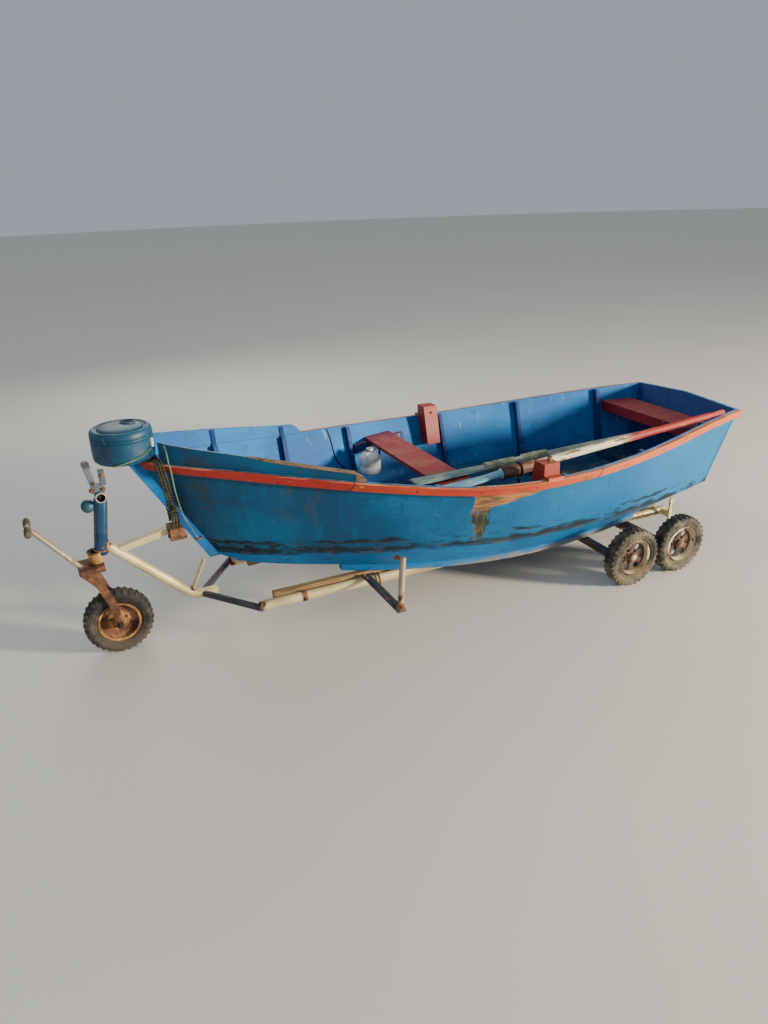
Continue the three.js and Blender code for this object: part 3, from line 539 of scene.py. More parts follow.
def copy_of(node, flat=1.0):
    """A node's solid with its corners shared and its flat faces whole."""
    bm = bmesh.new()
    bm.from_mesh(NODES[node].data)
    bmesh.ops.remove_doubles(bm, verts=bm.verts, dist=2e-5)
    bmesh.ops.dissolve_limit(bm, angle_limit=math.radians(flat), verts=bm.verts, edges=bm.edges)
    return bm


def bevel(bm, edges, width, segments, **more):
    bmesh.ops.bevel(bm, geom=edges, offset=width, segments=segments, profile=0.5, affect="EDGES",
                    material=-1, **more)


def ease(bm, width, segments=2, angle=40, where=None):
    """Rounds the edges that turn by more than this angle."""
    limit = math.radians(angle)
    edges = [edge for edge in bm.edges if edge.is_manifold and edge.calc_face_angle() > limit]
    if where:
        edges = [edge for edge in edges if where(edge)]
    bevel(bm, edges, width, segments, clamp_overlap=True)


def wobble(bm, amount, scale, seed=0.0):
    """Uneven as hand work is: each point moves by a slow noise."""
    for vert in bm.verts:
        vert.co += noise.noise_vector(vert.co * scale + Vector((seed, 0, 0))) * amount


def paint(bm, choose):
    """Each face takes the finish whose number its middle and its direction call for."""
    for face in bm.faces:
        face.material_index = int(choose(face.calc_center_median(), face.normal))


def show(bm, name, finish, body=BOAT, slot=None, stands_for=(), sharp=32, extra=(), even=False):
    """The bmesh as a piece of the scene that rides on a body."""
    mesh = bpy.data.meshes.new(name)
    bm.to_mesh(mesh)
    bm.free()
    for face in mesh.polygons:
        face.use_smooth = True
    mesh.set_sharp_from_angle(angle=math.radians(sharp))
    for key in (finish, *extra):
        mesh.materials.append(FINISHES[key])
    piece = bpy.data.objects.new(name, mesh)
    bpy.context.collection.objects.link(piece)
    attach(piece, body)
    if stands_for:
        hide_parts(*stands_for)
    if even:
        shading = piece.modifiers.new("even_shading", "WEIGHTED_NORMAL")
        shading.keep_sharp = True


def dress(node, name, finish, width, segments=2, angle=40, flat=1.0, uneven=None, choose=None, even=True,
          **how):
    """A node's solid with its edges eased, as the piece that stands for it."""
    bm = copy_of(node, flat=flat)
    ease(bm, width, segments, angle)
    if uneven:
        wobble(bm, *uneven)
    if choose:
        paint(bm, choose)
    show(bm, name, finish, stands_for=[node], even=even, **how)


def towards(direction):
    """The turn that brings +Z to a direction."""
    return Vector(direction).to_track_quat("Z", "Y").to_matrix().to_4x4()


def put(bm, turn, spot):
    bmesh.ops.transform(bm, matrix=Matrix.Translation(spot) @ turn, verts=bm.verts)
    return bm


def turned(profile, segments, direction=(0, 0, 1), spot=(0, 0, 0)):
    """A profile of (radius, height) spun about an axis that runs in a direction from a spot."""
    bm = bmesh.new()
    points = [bm.verts.new((radius, 0, height)) for radius, height in profile]
    edges = [bm.edges.new(pair) for pair in zip(points, points[1:])]
    bmesh.ops.spin(bm, geom=[*points, *edges], cent=(0, 0, 0), axis=(0, 0, 1), angle=math.tau,
                   steps=segments, use_merge=True)
    bmesh.ops.remove_doubles(bm, verts=bm.verts, dist=1e-6)
    loose = [edge for edge in bm.edges if edge.is_boundary]
    if loose:
        bmesh.ops.holes_fill(bm, edges=loose, sides=0)
    bmesh.ops.recalc_face_normals(bm, faces=bm.faces)
    return put(bm, towards(direction), Vector(spot))


def loft(rings):
    """A closed skin bridged through rings of equal count, with both ends capped."""
    bm = bmesh.new()
    loops = []
    for ring in rings:
        verts = [bm.verts.new(point) for point in ring]
        loops.append([bm.edges.new(pair) for pair in zip(verts, [*verts[1:], verts[0]])])
    for before, after in zip(loops, loops[1:]):
        bmesh.ops.bridge_loops(bm, edges=[*before, *after])
    bmesh.ops.holes_fill(bm, edges=[edge for edge in bm.edges if edge.is_boundary], sides=0)
    bmesh.ops.recalc_face_normals(bm, faces=bm.faces)
    return bm


def merge(target, source):
    """Adds one bmesh to another."""
    mesh = bpy.data.meshes.new("passing")
    source.to_mesh(mesh)
    source.free()
    target.from_mesh(mesh)
    bpy.data.meshes.remove(mesh)


def together(parts):
    whole = bmesh.new()
    for part in parts:
        merge(whole, part)
    return whole


def box_at(low, high, round_off, segments=2):
    bm = bmesh.new()
    bmesh.ops.create_cube(bm, size=1)
    low, high = Vector(low), Vector(high)
    bmesh.ops.scale(bm, vec=high - low, verts=bm.verts)
    bmesh.ops.translate(bm, vec=(low + high) / 2, verts=bm.verts)
    bevel(bm, bm.edges, round_off, segments)
    return bm


def bolt(spot, direction, radius=0.009, height=0.006):
    """A hexagon head on a washer."""
    head = bmesh.new()
    bmesh.ops.create_cone(head, cap_ends=True, segments=6, radius1=radius, radius2=radius, depth=height)
    rim = [edge for edge in head.edges if edge.verts[0].co.z > 0 and edge.verts[1].co.z > 0]
    bevel(head, rim, height * 0.25, 1)
    put(head, Matrix(), (0, 0, height / 2 + WASHER / 2))
    plate = bmesh.new()
    wide = radius * 1.5
    bmesh.ops.create_cone(plate, cap_ends=True, segments=16, radius1=wide, radius2=wide, depth=WASHER)
    merge(head, plate)
    return put(head, towards(direction), Vector(spot))


def seam(corners):
    """A closed line through some corners, with points between them."""
    line = []
    for a, b in zip(corners, [*corners[1:], corners[0]]):
        line += [a.lerp(b, step / 6) for step in range(6)]
    return line


def circle(spot, direction, radius, count=28):
    """Points round an axis."""
    turn = towards(direction).to_3x3()
    angles = [index * math.tau / count for index in range(count)]
    return [Vector(spot) + turn @ Vector((radius * math.cos(a), radius * math.sin(a), 0)) for a in angles]


def surface(node):
    """The skin of a node, for finding where a line meets it."""
    mesh = NODES[node].data
    return BVHTree.FromPolygons([vert.co for vert in mesh.vertices],
                                [list(polygon.vertices) for polygon in mesh.polygons])


def meeting(skin, start, direction):
    """Where a line from a point first meets a skin, and the way that the skin faces there."""
    spot, normal, _, _ = skin.ray_cast(Vector(start), Vector(direction).normalized())
    return spot, normal


def smooth_path(points, steps):
    """A smooth line through the points, as evenly spaced samples."""
    points = [Vector(point) for point in points]
    ends = [points[0] * 2 - points[1], *points, points[-1] * 2 - points[-2]]
    line = []
    for index in range(len(points) - 1):
        a, b, c, d = ends[index:index + 4]
        for step in range(steps):
            t = step / steps
            line.append(0.5 * ((2 * b) + (c - a) * t + (2 * a - 5 * b + 4 * c - d) * t ** 2
                               + (3 * b - a - 3 * c + d) * t ** 3))
    line.append(points[-1])
    return line


def strand(line, radius, sides=2):
    """A round strand along a line, as a mesh made from a curve."""
    curve = bpy.data.curves.new("strand", "CURVE")
    curve.dimensions = "3D"
    curve.bevel_depth = radius
    curve.bevel_resolution = sides
    curve.use_fill_caps = True
    spline = curve.splines.new("POLY")
    spline.points.add(len(line) - 1)
    for point, spot in zip(spline.points, line):
        point.co = (*spot, 1)
    holder = bpy.data.objects.new("strand", curve)
    bpy.context.collection.objects.link(holder)
    mesh = bpy.data.meshes.new_from_object(holder.evaluated_get(bpy.context.evaluated_depsgraph_get()))
    bm = bmesh.new()
    bm.from_mesh(mesh)
    bpy.data.objects.remove(holder)
    bpy.data.curves.remove(curve)
    bpy.data.meshes.remove(mesh)
    return bm


def hoop(spot, direction, radius, thick, count=28, sides=2):
    """A round ring about an axis."""
    line = circle(spot, direction, radius, count)
    return strand([*line, line[0]], thick, sides)


def band(inner, outer, low, top):
    """The closed profile of a plain ring."""
    return [(inner, low), (outer, low), (outer, top), (inner, top), (inner, low)]


def weld(loop, thick, seed=0.0):
    """A lumpy weld bead along a closed line."""
    bead = strand([*loop, loop[0]], thick)
    wobble(bead, thick * 0.9, 130, seed)
    return bead


def laid_rope(points, radius, lay=0.07, steps=24):
    """A rope of three twisted strands along a smooth line through the points."""
    line = smooth_path(points, steps)
    whole = bmesh.new()
    lengths = [0.0]
    for a, b in zip(line, line[1:]):
        lengths.append(lengths[-1] + (b - a).length)
    side = UP.cross(line[1] - line[0])
    side = side.normalized() if side.length > 1e-6 else Vector((1, 0, 0))
    frames = []
    for index, spot in enumerate(line):
        ahead = line[min(index + 1, len(line) - 1)] - line[max(index - 1, 0)]
        ahead.normalize()
        side = (side - ahead * side.dot(ahead)).normalized()
        frames.append((spot, side.copy(), ahead.cross(side)))
    for turn in (0, math.tau / 3, 2 * math.tau / 3):
        route = []
        for (spot, right, over), length in zip(frames, lengths):
            angle = turn + length / lay * math.tau
            route.append(spot + (right * math.cos(angle) + over * math.sin(angle)) * radius * 0.52)
        merge(whole, strand(route, radius * 0.56))
    return whole


# Camera, floor and light

CAMERA_SPOT = place(2.481, 4.141, 2.5)
CAMERA_AIM = place(0.54, 0.0, 0.50)
CAMERA_ROLL = math.radians(-2.2)
CAMERA_LENS = 26.3


def aimed(thing, spot, aim, roll=0.0):
    """Stands a lamp or the camera at a spot, looking at another."""
    bpy.context.collection.objects.link(thing)
    thing.location = spot
    thing.rotation_mode = "QUATERNION"
    look = (Vector(aim) - Vector(spot)).to_track_quat("-Z", "Y")
    thing.rotation_quaternion = look @ Quaternion((0, 0, 1), roll)


def add_camera():
    camera = bpy.data.objects.new("camera", bpy.data.cameras.new("camera"))
    camera.data.lens = CAMERA_LENS
    aimed(camera, CAMERA_SPOT, CAMERA_AIM, CAMERA_ROLL)
    bpy.context.scene.camera = camera


def add_area_light(name, spot, size, power, colour):
    light = bpy.data.lights.new(name, "AREA")
    light.shape = "DISK"
    light.size = size
    light.energy = power
    light.color = colour
    aimed(bpy.data.objects.new(name, light), spot, (0, 0, 0.6))


def add_studio():
    bm = bmesh.new()
    bmesh.ops.create_circle(bm, cap_ends=True, segments=64, radius=60)
    mesh = bpy.data.meshes.new("studio_floor")
    bm.to_mesh(mesh)
    bm.free()
    f = Finish("studio_floor")
    f.paint = f.mix(f.noise(0.6, 3), (222, 216, 204), (230, 225, 214))
    mesh.materials.append(f.done(0.85))
    floor = bpy.data.objects.new("studio_floor", mesh)
    bpy.context.collection.objects.link(floor)

    world = bpy.data.worlds.new("studio")
    bpy.context.scene.world = world
    world.use_nodes = True
    sky = world.node_tree.nodes["Background"]
    sky.inputs["Color"].default_value = rgb(226, 236, 250)
    sky.inputs["Strength"].default_value = 0.46
    add_area_light("key", (-9.3, 8.8, 2.7), 1.6, 3700, (1.0, 0.89, 0.72))
    add_area_light("fill", (6.0, 5.0, 4.5), 5.0, 85, (0.90, 0.95, 1.0))
    add_area_light("rear", (0.5, -6.0, 4.5), 4.0, 140, (1.0, 0.98, 0.95))


# The boat

# Faces of planks are joined only within this many degrees, so that the planks keep their curve.
PLANK_FLAT = 0.2
STEM_HALF = 0.0225
THWART_UNDER = 0.7735
# A rail's face belongs to its thole block above this height, or nearer than this to the middle
BLOCK_LOW = 0.8735
BLOCK_INNER = 0.792
# The heights of the middle of the rail's outer face, by the drawing's x
RAIL_MIDDLES = [(2.06, 1.125), (1.72, 1.062), (1.00, 0.942), (0.30, 0.858), (-0.10, 0.830), (-0.50, 0.823),
                (-0.90, 0.830), (-1.30, 0.849), (-1.70, 0.871), (-2.09, 0.880)]


def add_planking():
    for name, side in SIDES.items():
        dress(f"topside_{name}", f"topside_planking_{name}", "topside", 0.003, flat=PLANK_FLAT,
              choose=lambda middle, normal: normal.y * side < 0, extra=["inside"])
        dress(f"bilge_strake_{name}", f"bilge_planking_{name}", "lower", 0.002, flat=PLANK_FLAT,
              choose=lambda middle, normal: normal.z > 0.2, extra=["inside"])
    dress("bottom_planking", "bottom_planks", "lower", 0.004, angle=50, flat=PLANK_FLAT,
          choose=lambda middle, normal: normal.z > 0.5, extra=["inside"])


def add_backbone():
    dress("transom", "transom_board", "topside", 0.004, 3,
          choose=lambda middle, normal: normal.x > 0.5, extra=["transom_face_shade"])
    bm = copy_of("stem")
    ease(bm, 0.004, 2, 50, lambda edge: all(abs(vert.co.y) < STEM_HALF for vert in edge.verts))
    paint(bm, lambda middle, normal: middle.y > STEM_HALF)
    show(bm, "stem_timber", "stem", stands_for=["stem"], extra=["rust"], even=True)
    dress("keel", "keel_timber", "lower", 0.004, angle=50)


def nail(spot, normal):
    return turned([(0, 0.0022), (0.004, 0.002), (0.006, 0.0006), (0.006, -0.001)], 12, normal, spot)


def add_rails():
    """The rails turn to thole blocks where the oars lie; the near block has a wooden pin in its top."""
    fore, aft = (BLOCK["x"] - MIDDLE + end * (BLOCK["half"] + 0.001) for end in (1, -1))

    def on_block(middle, normal=None):
        return aft < middle.x < fore and (middle.z > BLOCK_LOW or abs(middle.y) < BLOCK_INNER)

    def edge_on_block(edge):
        return on_block((edge.verts[0].co + edge.verts[1].co) / 2)

    nails = []
    for name, side in SIDES.items():
        bm = copy_of(f"rub_rail_{name}", flat=0.4)
        ease(bm, 0.0135, 5, 45, lambda edge: not edge_on_block(edge))
        ease(bm, 0.004, 2, 45, edge_on_block)
        wobble(bm, 0.0014, 5, side)
        paint(bm, on_block)
        show(bm, f"rail_{name}", "rail", stands_for=[f"rub_rail_{name}"], extra=["block"], even=True)
        skin = surface(f"rub_rail_{name}")
        for x in [1.72 - 0.36 * step for step in range(10)]:
            spot, normal = meeting(skin, place(x, side * 1.5, rail_height(x)), (0, -side, 0))
            if spot is not None:
                nails.append(nail(spot, normal))
    show(together(nails), "rail_nails", "iron", sharp=60)

    outline = [(0, 0), (0.015, 0), (0.014, 0.014), (0.015, 0.028), (0.012, 0.036), (0.004, 0.039), (0, 0.039)]
    pin = turned(outline, 20, (-0.05, 0.08, 1), place(BLOCK["x"] - 0.012, 0.748, 0.945))
    wobble(pin, 0.0012, 40)
    show(pin, "thole_pin", "cap_wood", sharp=50)
    # A dark disc on the far block's top stands in for the thole hole: painted shade.
    spot, normal = meeting(surface("rub_rail_starboard"), place(BLOCK["x"], 0, 0.900), (0, -1, 0))
    dark = turned([(0.0, 0.0012), (0.006, 0.0008), (0.0095, 0.0014), (0.0105, 0)], 20, normal, spot)
    show(dark, "thole_shade_disc", "hollow", sharp=60)


def rail_height(x):
    for (x0, z0), (x1, z1) in zip(RAIL_MIDDLES, RAIL_MIDDLES[1:]):
        if x >= x1:
            return z0 + (z1 - z0) * (x0 - x) / (x0 - x1)
    return RAIL_MIDDLES[-1][1]


def board_corners(name):
    """The corners of a washboard from aft forward: for each place its x, and its low and top corners."""
    places = {}
    for vert in NODES[f"washboard_{name}"].data.vertices:
        corners = places.setdefault(round(vert.co.x, 3), [])
        if all((vert.co - other).length > 1e-4 for other in corners):
            corners.append(vert.co.copy())
    rows = []
    for x, corners in sorted(places.items()):
        corners.sort(key=lambda corner: (round(corner.z, 3), abs(corner.y)))
        rows.append((x, corners))
    return rows


def board_at(rows, x):
    """The inner low, outer low, inner top and outer top corners of a washboard at a place along it."""
    for (x0, first), (x1, second) in zip(rows, rows[1:]):
        if x <= x1 + 1e-6:
            share = (x - x0) / (x1 - x0)
            return [a.lerp(b, share) for a, b in zip(first, second)]
    return rows[-1][1]


def board_cap(rows, side):
    """The bare worn strip on top of a bow board's after half."""
    cap = []
    for step in range(13):
        x = place(1.500 - step * 0.0455, 0, 0).x
        _, _, inner, outer = board_at(rows, max(x, rows[0][0]))
        lift = 0.004 + 0.002 * noise.noise(Vector((step * 0.7, side, 0)))
        across = Vector((0, side * (0.003 + 0.0015 * noise.noise(Vector((step * 0.9, 0, side)))), 0))
        fade = min(1.0, step / 2 + 0.1)
        inner, outer = inner - across, outer + across
        low, high = UP * (-0.012 * fade), UP * (lift * fade)
        cap.append([inner + low, outer + low, outer + high, inner + high])
    return loft(cap)


def board_end(end, side):
    """The broken step down at a bow board's after end."""
    rings = []
    for back, share in ((0.004, 1.0), (-0.014, 0.80), (-0.030, 0.62), (-0.044, 0.30), (-0.056, 0.10)):
        low_in, low_out, top_in, top_out = (corner + Vector((back, -side * back * 0.35, 0)) for corner in end)
        low_in, low_out = low_in - UP * 0.006, low_out - UP * 0.006
        ragged = 0.05 * noise.noise(Vector((back * 90, side, 2)))
        rings.append([low_in, low_out, low_out.lerp(top_out, share + ragged), low_in.lerp(top_in, share)])
    return loft(rings)


def board_cleat(rows, x, side):
    low_in, _, top_in, _ = board_at(rows, x - MIDDLE)
    away, half = Vector((0, -side * 0.015, 0)), Vector((0.014, 0, 0))
    low_in = low_in - UP * 0.012
    return loft([[spot - half, spot + half, spot + half + away, spot - half + away]
                 for spot in (low_in, low_in.lerp(top_in, 0.97))])


def add_washboards():
    """Each raised bow board has cleats inside and a broken end; the port one has a bare worn cap too."""
    for name, side in SIDES.items():
        port = name == "port"
        rows = board_corners(name)
        dress(f"washboard_{name}", f"bow_board_{name}", "topside", 0.003, angle=45, flat=0.4,
              choose=lambda middle, normal: normal.y * side < -0.3, extra=["inside"])
        trims = [("end", board_end(rows[0][1], side), "cap_wood" if port else "inside", 0.002, 1),
                 ("cleats", together(board_cleat(rows, x, side) for x in RIBS[:2]), "shade", 0.0025, 2)]
        if port:
            trims.append(("cap", board_cap(rows, side), "cap_wood", 0.003, 2))
        for part, bm, finish, width, segments in trims:
            ease(bm, width, segments)
            show(bm, f"bow_board_{part}_{name}", finish, even=True)


def add_frames():
    """The ribs reach up to the rails, a little beyond the solids."""
    for number in range(1, len(RIBS) + 1):
        bm = copy_of(f"frame_{number}")
        crown = max(vert.co.z for vert in bm.verts)
        for vert in bm.verts:
            if vert.co.z > crown - 0.030:
                vert.co += Vector((0, math.copysign(0.0035, vert.co.y), 0.012))
        ease(bm, 0.004)
        show(bm, f"rib_{number}", "shade", stands_for=[f"frame_{number}"], even=True)


def add_seats():
    dress("centre_thwart", "thwart_board", "thwart", 0.005, 3,
          choose=lambda middle, normal: middle.z < THWART_UNDER, extra=["shade"])
    dress("stern_bench", "bench_boards", "bench", 0.004, 3)
    dress("bow_plate", "bow_deck", "inside", 0.003)
    heads = []
    for y in (-0.60, -0.585, 0.585, 0.60):
        for x, spread in ((0.180, 1.02), (0.300, 0.98)):
            heads.append(turned([(0, 0.0018), (0.005, 0.0014), (0.0068, 0), (0.0068, -0.002)], 12, UP,
                                place(x, y * spread, 0.800)))
    show(together(heads), "thwart_nails", "iron", sharp=60)


def add_drum():
    """A plastic drum on its base: ridges round its shoulder, a bung ring, a lug and a line round it."""
    r, shoulder = FLOAT["radius"], 0.1745
    wall = [
        (0, 0.004), (r - 0.030, 0.0), (r - 0.014, 0.003), (r - 0.005, 0.012), (r - 0.001, 0.030), (r, 0.060),
        (r, 0.110), (r - 0.0015, 0.120), (r - 0.007, 0.1235), (r - 0.007, 0.1265), (r - 0.0005, 0.130),
        (r - 0.0005, 0.137), (r - 0.007, 0.1405), (r - 0.007, 0.1435), (r - 0.001, 0.147), (r - 0.002, 0.160),
        (r - 0.006, 0.171), (r - 0.014, 0.179), (r - 0.022, 0.1815), (r - 0.029, 0.179), (r - 0.034, 0.174),
        (r - 0.042, shoulder),
    ]
    rise = FLOAT["dome"] - 0.004
    angles = [step * math.pi / 16 for step in range(1, 8)]
    dome = [((r - 0.042) * math.cos(a), shoulder + rise * math.sin(a)) for a in angles]
    base = place(FLOAT["x"], 0, FLOAT["base"])
    bm = turned([*wall, *dome, (0, shoulder + rise)], 80, spot=base)
    for vert in bm.verts:
        across = vert.co - base
        if 0.03 < across.z < 0.118:
            dent = noise.noise(Vector((across.x * 7, across.y * 7, across.z * 5)))
            vert.co -= Vector((across.x, across.y, 0)).normalized() * max(0.0, dent) * 0.006
    show(bm, "bow_drum", "drum", stands_for=["bow_float"], sharp=50)

    centre = base + Vector((-0.045, -0.020, 0.1965))
    outline = [(0.034, -0.012), (0.042, -0.012), (0.042, 0.002), (0.040, 0.004), (0.037, 0.004),
               (0.035, 0.002), (0.034, -0.004), (0.034, -0.012)]
    show(turned(outline, 36, spot=centre), "drum_bung_ring", "drum", sharp=40)
    # A flat dark disc inside the ring stands in for the open hole: painted shade.
    bung = turned([(0, 0.0015), (0.034, 0.0020), (0.0345, -0.006)], 28, spot=centre)
    show(bung, "drum_hole_shade_disc", "opening", sharp=40)
    away = Vector((-0.85, 0.53, 0)).normalized()
    lug = box_at((-0.011, -0.006, -0.025), (0.011, 0.008, 0.025), 0.004, 3)
    turn = Matrix((UP.cross(away) * -1, away, UP)).transposed().to_4x4()
    put(lug, turn, Vector((base.x, 0, 1.265)) + away * r)
    show(lug, "drum_lug", "white", sharp=40)
    arc = []
    for step in range(9):
        angle = math.radians(140 - 10 * step)
        arc.append(Vector((base.x + (r + 0.003) * math.cos(angle), (r + 0.003) * math.sin(angle),
                           1.235 - 0.055 * step / 8)))
    show(laid_rope(arc, 0.0035, 0.03, 8), "drum_line", "pale_line", sharp=60)


def oar_axes(oar):
    """The ways along an oar, to its side and up from it."""
    along = (oar["tip"] - oar["grip"]).normalized()
    side = UP.cross(along).normalized()
    return along, side, along.cross(side)


def on_oar(oar, distance):
    return oar["grip"] + oar_axes(oar)[0] * distance


def add_oar(name, oar, grip, shaft):
    """A round shaft that flattens into a blade; rows hold distance, half-width and half-thickness."""
    length = (oar["tip"] - oar["grip"]).length
    blade = length - oar["blade"]
    start, end, radius = oar["collar"]
    radius -= 0.002
    round_rows = [
        (0.0, grip * 0.75), (0.006, grip), (0.118, grip), (0.136, grip + 0.003), (0.150, grip + 0.004),
        (0.95, shaft), (start - 0.012, shaft), (start, radius), (end, radius), (end + 0.012, shaft),
        (blade, shaft),
    ]
    rows = [(distance, half, half) for distance, half in round_rows] + [
        (blade + 0.08, shaft + 0.009, shaft - 0.007), (blade + 0.16, 0.0475, 0.0115),
        (length - 0.18, 0.0585, 0.0085), (length - 0.04, 0.060, 0.007), (length - 0.012, 0.056, 0.006),
        (length, 0.046, 0.005),
    ]
    ring = [(math.cos(index * math.tau / 20), math.sin(index * math.tau / 20)) for index in range(20)]
    bm = loft([[(wide * a, thick * b, distance) for a, b in ring] for distance, wide, thick in rows])
    along, side, over = oar_axes(oar)
    put(bm, Matrix((side, over, along)).transposed().to_4x4(), oar["grip"])
    wobble(bm, 0.0014, 6)
    show(bm, f"{name}_body", name, stands_for=[name], sharp=40)


def twine_wrap(start, end, radius, pitch):
    """Uneven turns of twine round the inner oar."""
    _, side, over = oar_axes(INNER_OAR)
    steps = int((end - start) / pitch) * 14
    route = []
    for step in range(steps + 1):
        angle = step / 14 * math.tau
        bulge = radius + 0.0045 * noise.noise(Vector((step / 40, radius * 90, 0)))
        centre = on_oar(INNER_OAR, start + (end - start) * step / steps)
        route.append(centre + (side * math.cos(angle) + over * math.sin(angle)) * bulge)
    return strand(route, 0.0042, 1)


def add_oars():
    """The outer oar has an iron ring and pin on a leather collar, the inner one a collar of twine."""
    add_oar("oar_outer", OUTER_OAR, 0.018, 0.0255)
    add_oar("oar_inner", INNER_OAR, 0.017, 0.0250)

    along = oar_axes(OUTER_OAR)[0]
    spot, reach = on_oar(OUTER_OAR, 1.760), 0.043
    pin = turned([(0, 0), (0.0085, 0.002), (0.0085, 0.080), (0.006, 0.088), (0, 0.090)], 16, (0, 0, -1),
                 spot - UP * reach)
    iron = [hoop(spot, along, reach, 0.006), pin]
    for distance in OUTER_OAR["collar"][:2]:
        iron.append(hoop(on_oar(OUTER_OAR, distance), along, 0.0385, 0.0035))
    show(together(iron), "oar_outer_iron", "iron", sharp=50)
    wraps = [twine_wrap(1.335, 1.520, 0.0335, 0.0085), twine_wrap(1.590, 1.810, 0.0285, 0.0100)]
    show(together(wraps), "oar_inner_twine", "twine", sharp=60)


def add_bailer():
    """A plastic jug with a cap and a side handle, on a strap from the thwart."""
    r, neck, height = JUG["radius"], JUG["neck"], JUG["height"]
    base = place(JUG["x"], JUG["y"], JUG["base"])
    outline = [
        (0, 0.003), (r - 0.014, 0.0), (r - 0.004, 0.005), (r, 0.016), (r, 0.050), (r - 0.003, 0.054),
        (r - 0.003, 0.060), (r, 0.064), (r, 0.112), (r - 0.006, 0.128), (r - 0.024, 0.146),
        (neck + 0.006, 0.156), (neck + 0.001, 0.161), (neck, 0.166), (0, 0.166),
    ]
    bm = turned(outline, 48, spot=base)
    for vert in bm.verts:
        dent = noise.noise((vert.co - base) * 14)
        vert.co -= Vector((vert.co.x - base.x, vert.co.y - base.y, 0)) * max(0.0, dent) * 0.05
    show(bm, "bailer_jug", "jug", stands_for=["bailer"], sharp=50)
    outline = [(0, 0.160), (neck, 0.160), (neck, 0.179), (neck - 0.002, height), (0, height)]
    cap = turned(outline, 32, spot=base)
    ease(cap, 0.0015, 2, 50)
    show(cap, "bailer_cap", "ring", slot="white_plastic", sharp=40)
    handle = smooth_path([base + Vector(point) for point in (
        (0.020, 0.022, 0.150), (0.034, 0.040, 0.158), (0.046, 0.054, 0.150), (0.050, 0.058, 0.120),
        (0.048, 0.056, 0.090))], 8)
    show(strand(handle, 0.0075, 3), "bailer_handle", "jug", sharp=60)
    strap = box_at(place(0.3510, -0.446, 0.680), place(0.3575, -0.424, 0.797), 0.0015)
    show(strap, "bailer_strap", "black_line", sharp=40)
    tie = strand([*circle(base + UP * 0.163, UP, 0.0285), base + Vector((-0.0285, 0, 0.163)),
                  place(0.3545, -0.435, 0.79)], 0.0028)
    show(tie, "bailer_tie", "black_line", sharp=60)


def add_lashings():
    half = [
        (1.958, 0.062, 1.160), (1.954, 0.128, 1.166), (1.950, 0.164, 1.150), (1.940, 0.158, 1.090),
        (1.925, 0.128, 1.000), (1.910, 0.100, 0.900), (1.897, 0.078, 0.820), (1.892, 0.062, 0.760),
        (1.892, 0.054, 0.729),
    ]
    route = [place(x, -y, z) for x, y, z in reversed(half)] + [place(*point) for point in half]
    parts = [laid_rope([point + Vector((shift, 0, 0)) for point in route], 0.0075)
             for shift in (-0.017, 0.0, 0.016)]
    for turn in range(3):
        knot = []
        for step in range(21):
            angle = step / 20 * math.tau
            knot.append(place(1.906 + 0.020 * math.cos(angle + turn), 0.092 + 0.026 * math.sin(angle),
                              0.842 + 0.018 * turn + 0.016 * math.sin(angle + turn * 2)))
        parts.append(laid_rope(knot, 0.0065, 0.05, 4))
    show(together(parts), "bow_lashing_rope", "dark_rope", stands_for=["bow_lashing"], sharp=60)
    painter = [
        (1.906, 0.150, 1.252), (1.903, 0.172, 1.220), (1.900, 0.178, 1.150), (1.894, 0.176, 1.110),
        (1.880, 0.132, 0.960), (1.855, 0.096, 0.820), (1.820, 0.074, 0.720), (1.790, 0.066, 0.650),
        (1.780, 0.065, 0.630),
    ]
    bm = laid_rope([place(*point) for point in painter], 0.004, lay=0.03)
    show(bm, "painter_line", "pale_line", stands_for=["painter"], sharp=60)
    slack = smooth_path([place(*point) for point in (
        (0.670, -0.624, 0.935), (0.652, -0.603, 0.850), (0.635, -0.570, 0.725), (0.600, -0.566, 0.668),
        (0.560, -0.561, 0.620))], 10)
    show(strand(slack, 0.0035), "slack_line", "black_line", sharp=60)


# The trailer

TUBE_WALL = 0.0035
CLAMP_X = 1.255
HEAD_TUBE = {"x": 2.266, "z": 0.990, "end": 0.056, "ring": 0.0265, "bore": 0.0225, "rim": 0.0295}
SLEEVE = {"low": 0.6635, "top": 0.6645, "radius": 0.0445, "bore": 0.027}
KNOB = {"x": 2.338, "z": 0.936, "radius": 0.0385, "from": 2.318}
CASTING_Z = 1.0
GRIP = {"x": 2.6588, "y": 0.068, "z": 0.878, "radius": 0.0185}
ARM_Z = 0.211
POST_FOOT = {"at": (2.316, 0, 0.668), "line": (-0.161, 0, 0.987), "radius": 0.0385}
# Bolts through the casting: place, and half the head's width
HEAD_BOLTS = [(2.305, 0.027, 1.030, 0.009), (2.245, 0.027, 1.030, 0.009), (2.238, 0.020, 1.106, 0.009),
              (2.290, 0.017, 1.066, 0.008)]
CAP_OUT = 0.030
STRUT_LINE = (0.449, 0, -0.893)


def moved_verts(grown):
    return [item for item in grown["geom"] if isinstance(item, bmesh.types.BMVert)]


def hollow_end(bm, direction, spot, depth):
    """Opens the end of a tube whose end face looks in a direction, near a spot."""
    direction = Vector(direction).normalized()
    faces = [face for face in bm.faces if face.normal.dot(direction) > 0.95
             and (face.calc_center_median() - spot).length < 0.05]
    face = max(faces, key=lambda item: item.calc_area())
    bmesh.ops.inset_region(bm, faces=[face], thickness=TUBE_WALL, use_even_offset=True)
    verts = moved_verts(bmesh.ops.extrude_face_region(bm, geom=[face]))
    bmesh.ops.delete(bm, geom=[face], context="FACES")
    bmesh.ops.translate(bm, vec=direction * -depth, verts=verts)
    for vert in verts:
        for touched in vert.link_faces:
            touched.material_index = 1


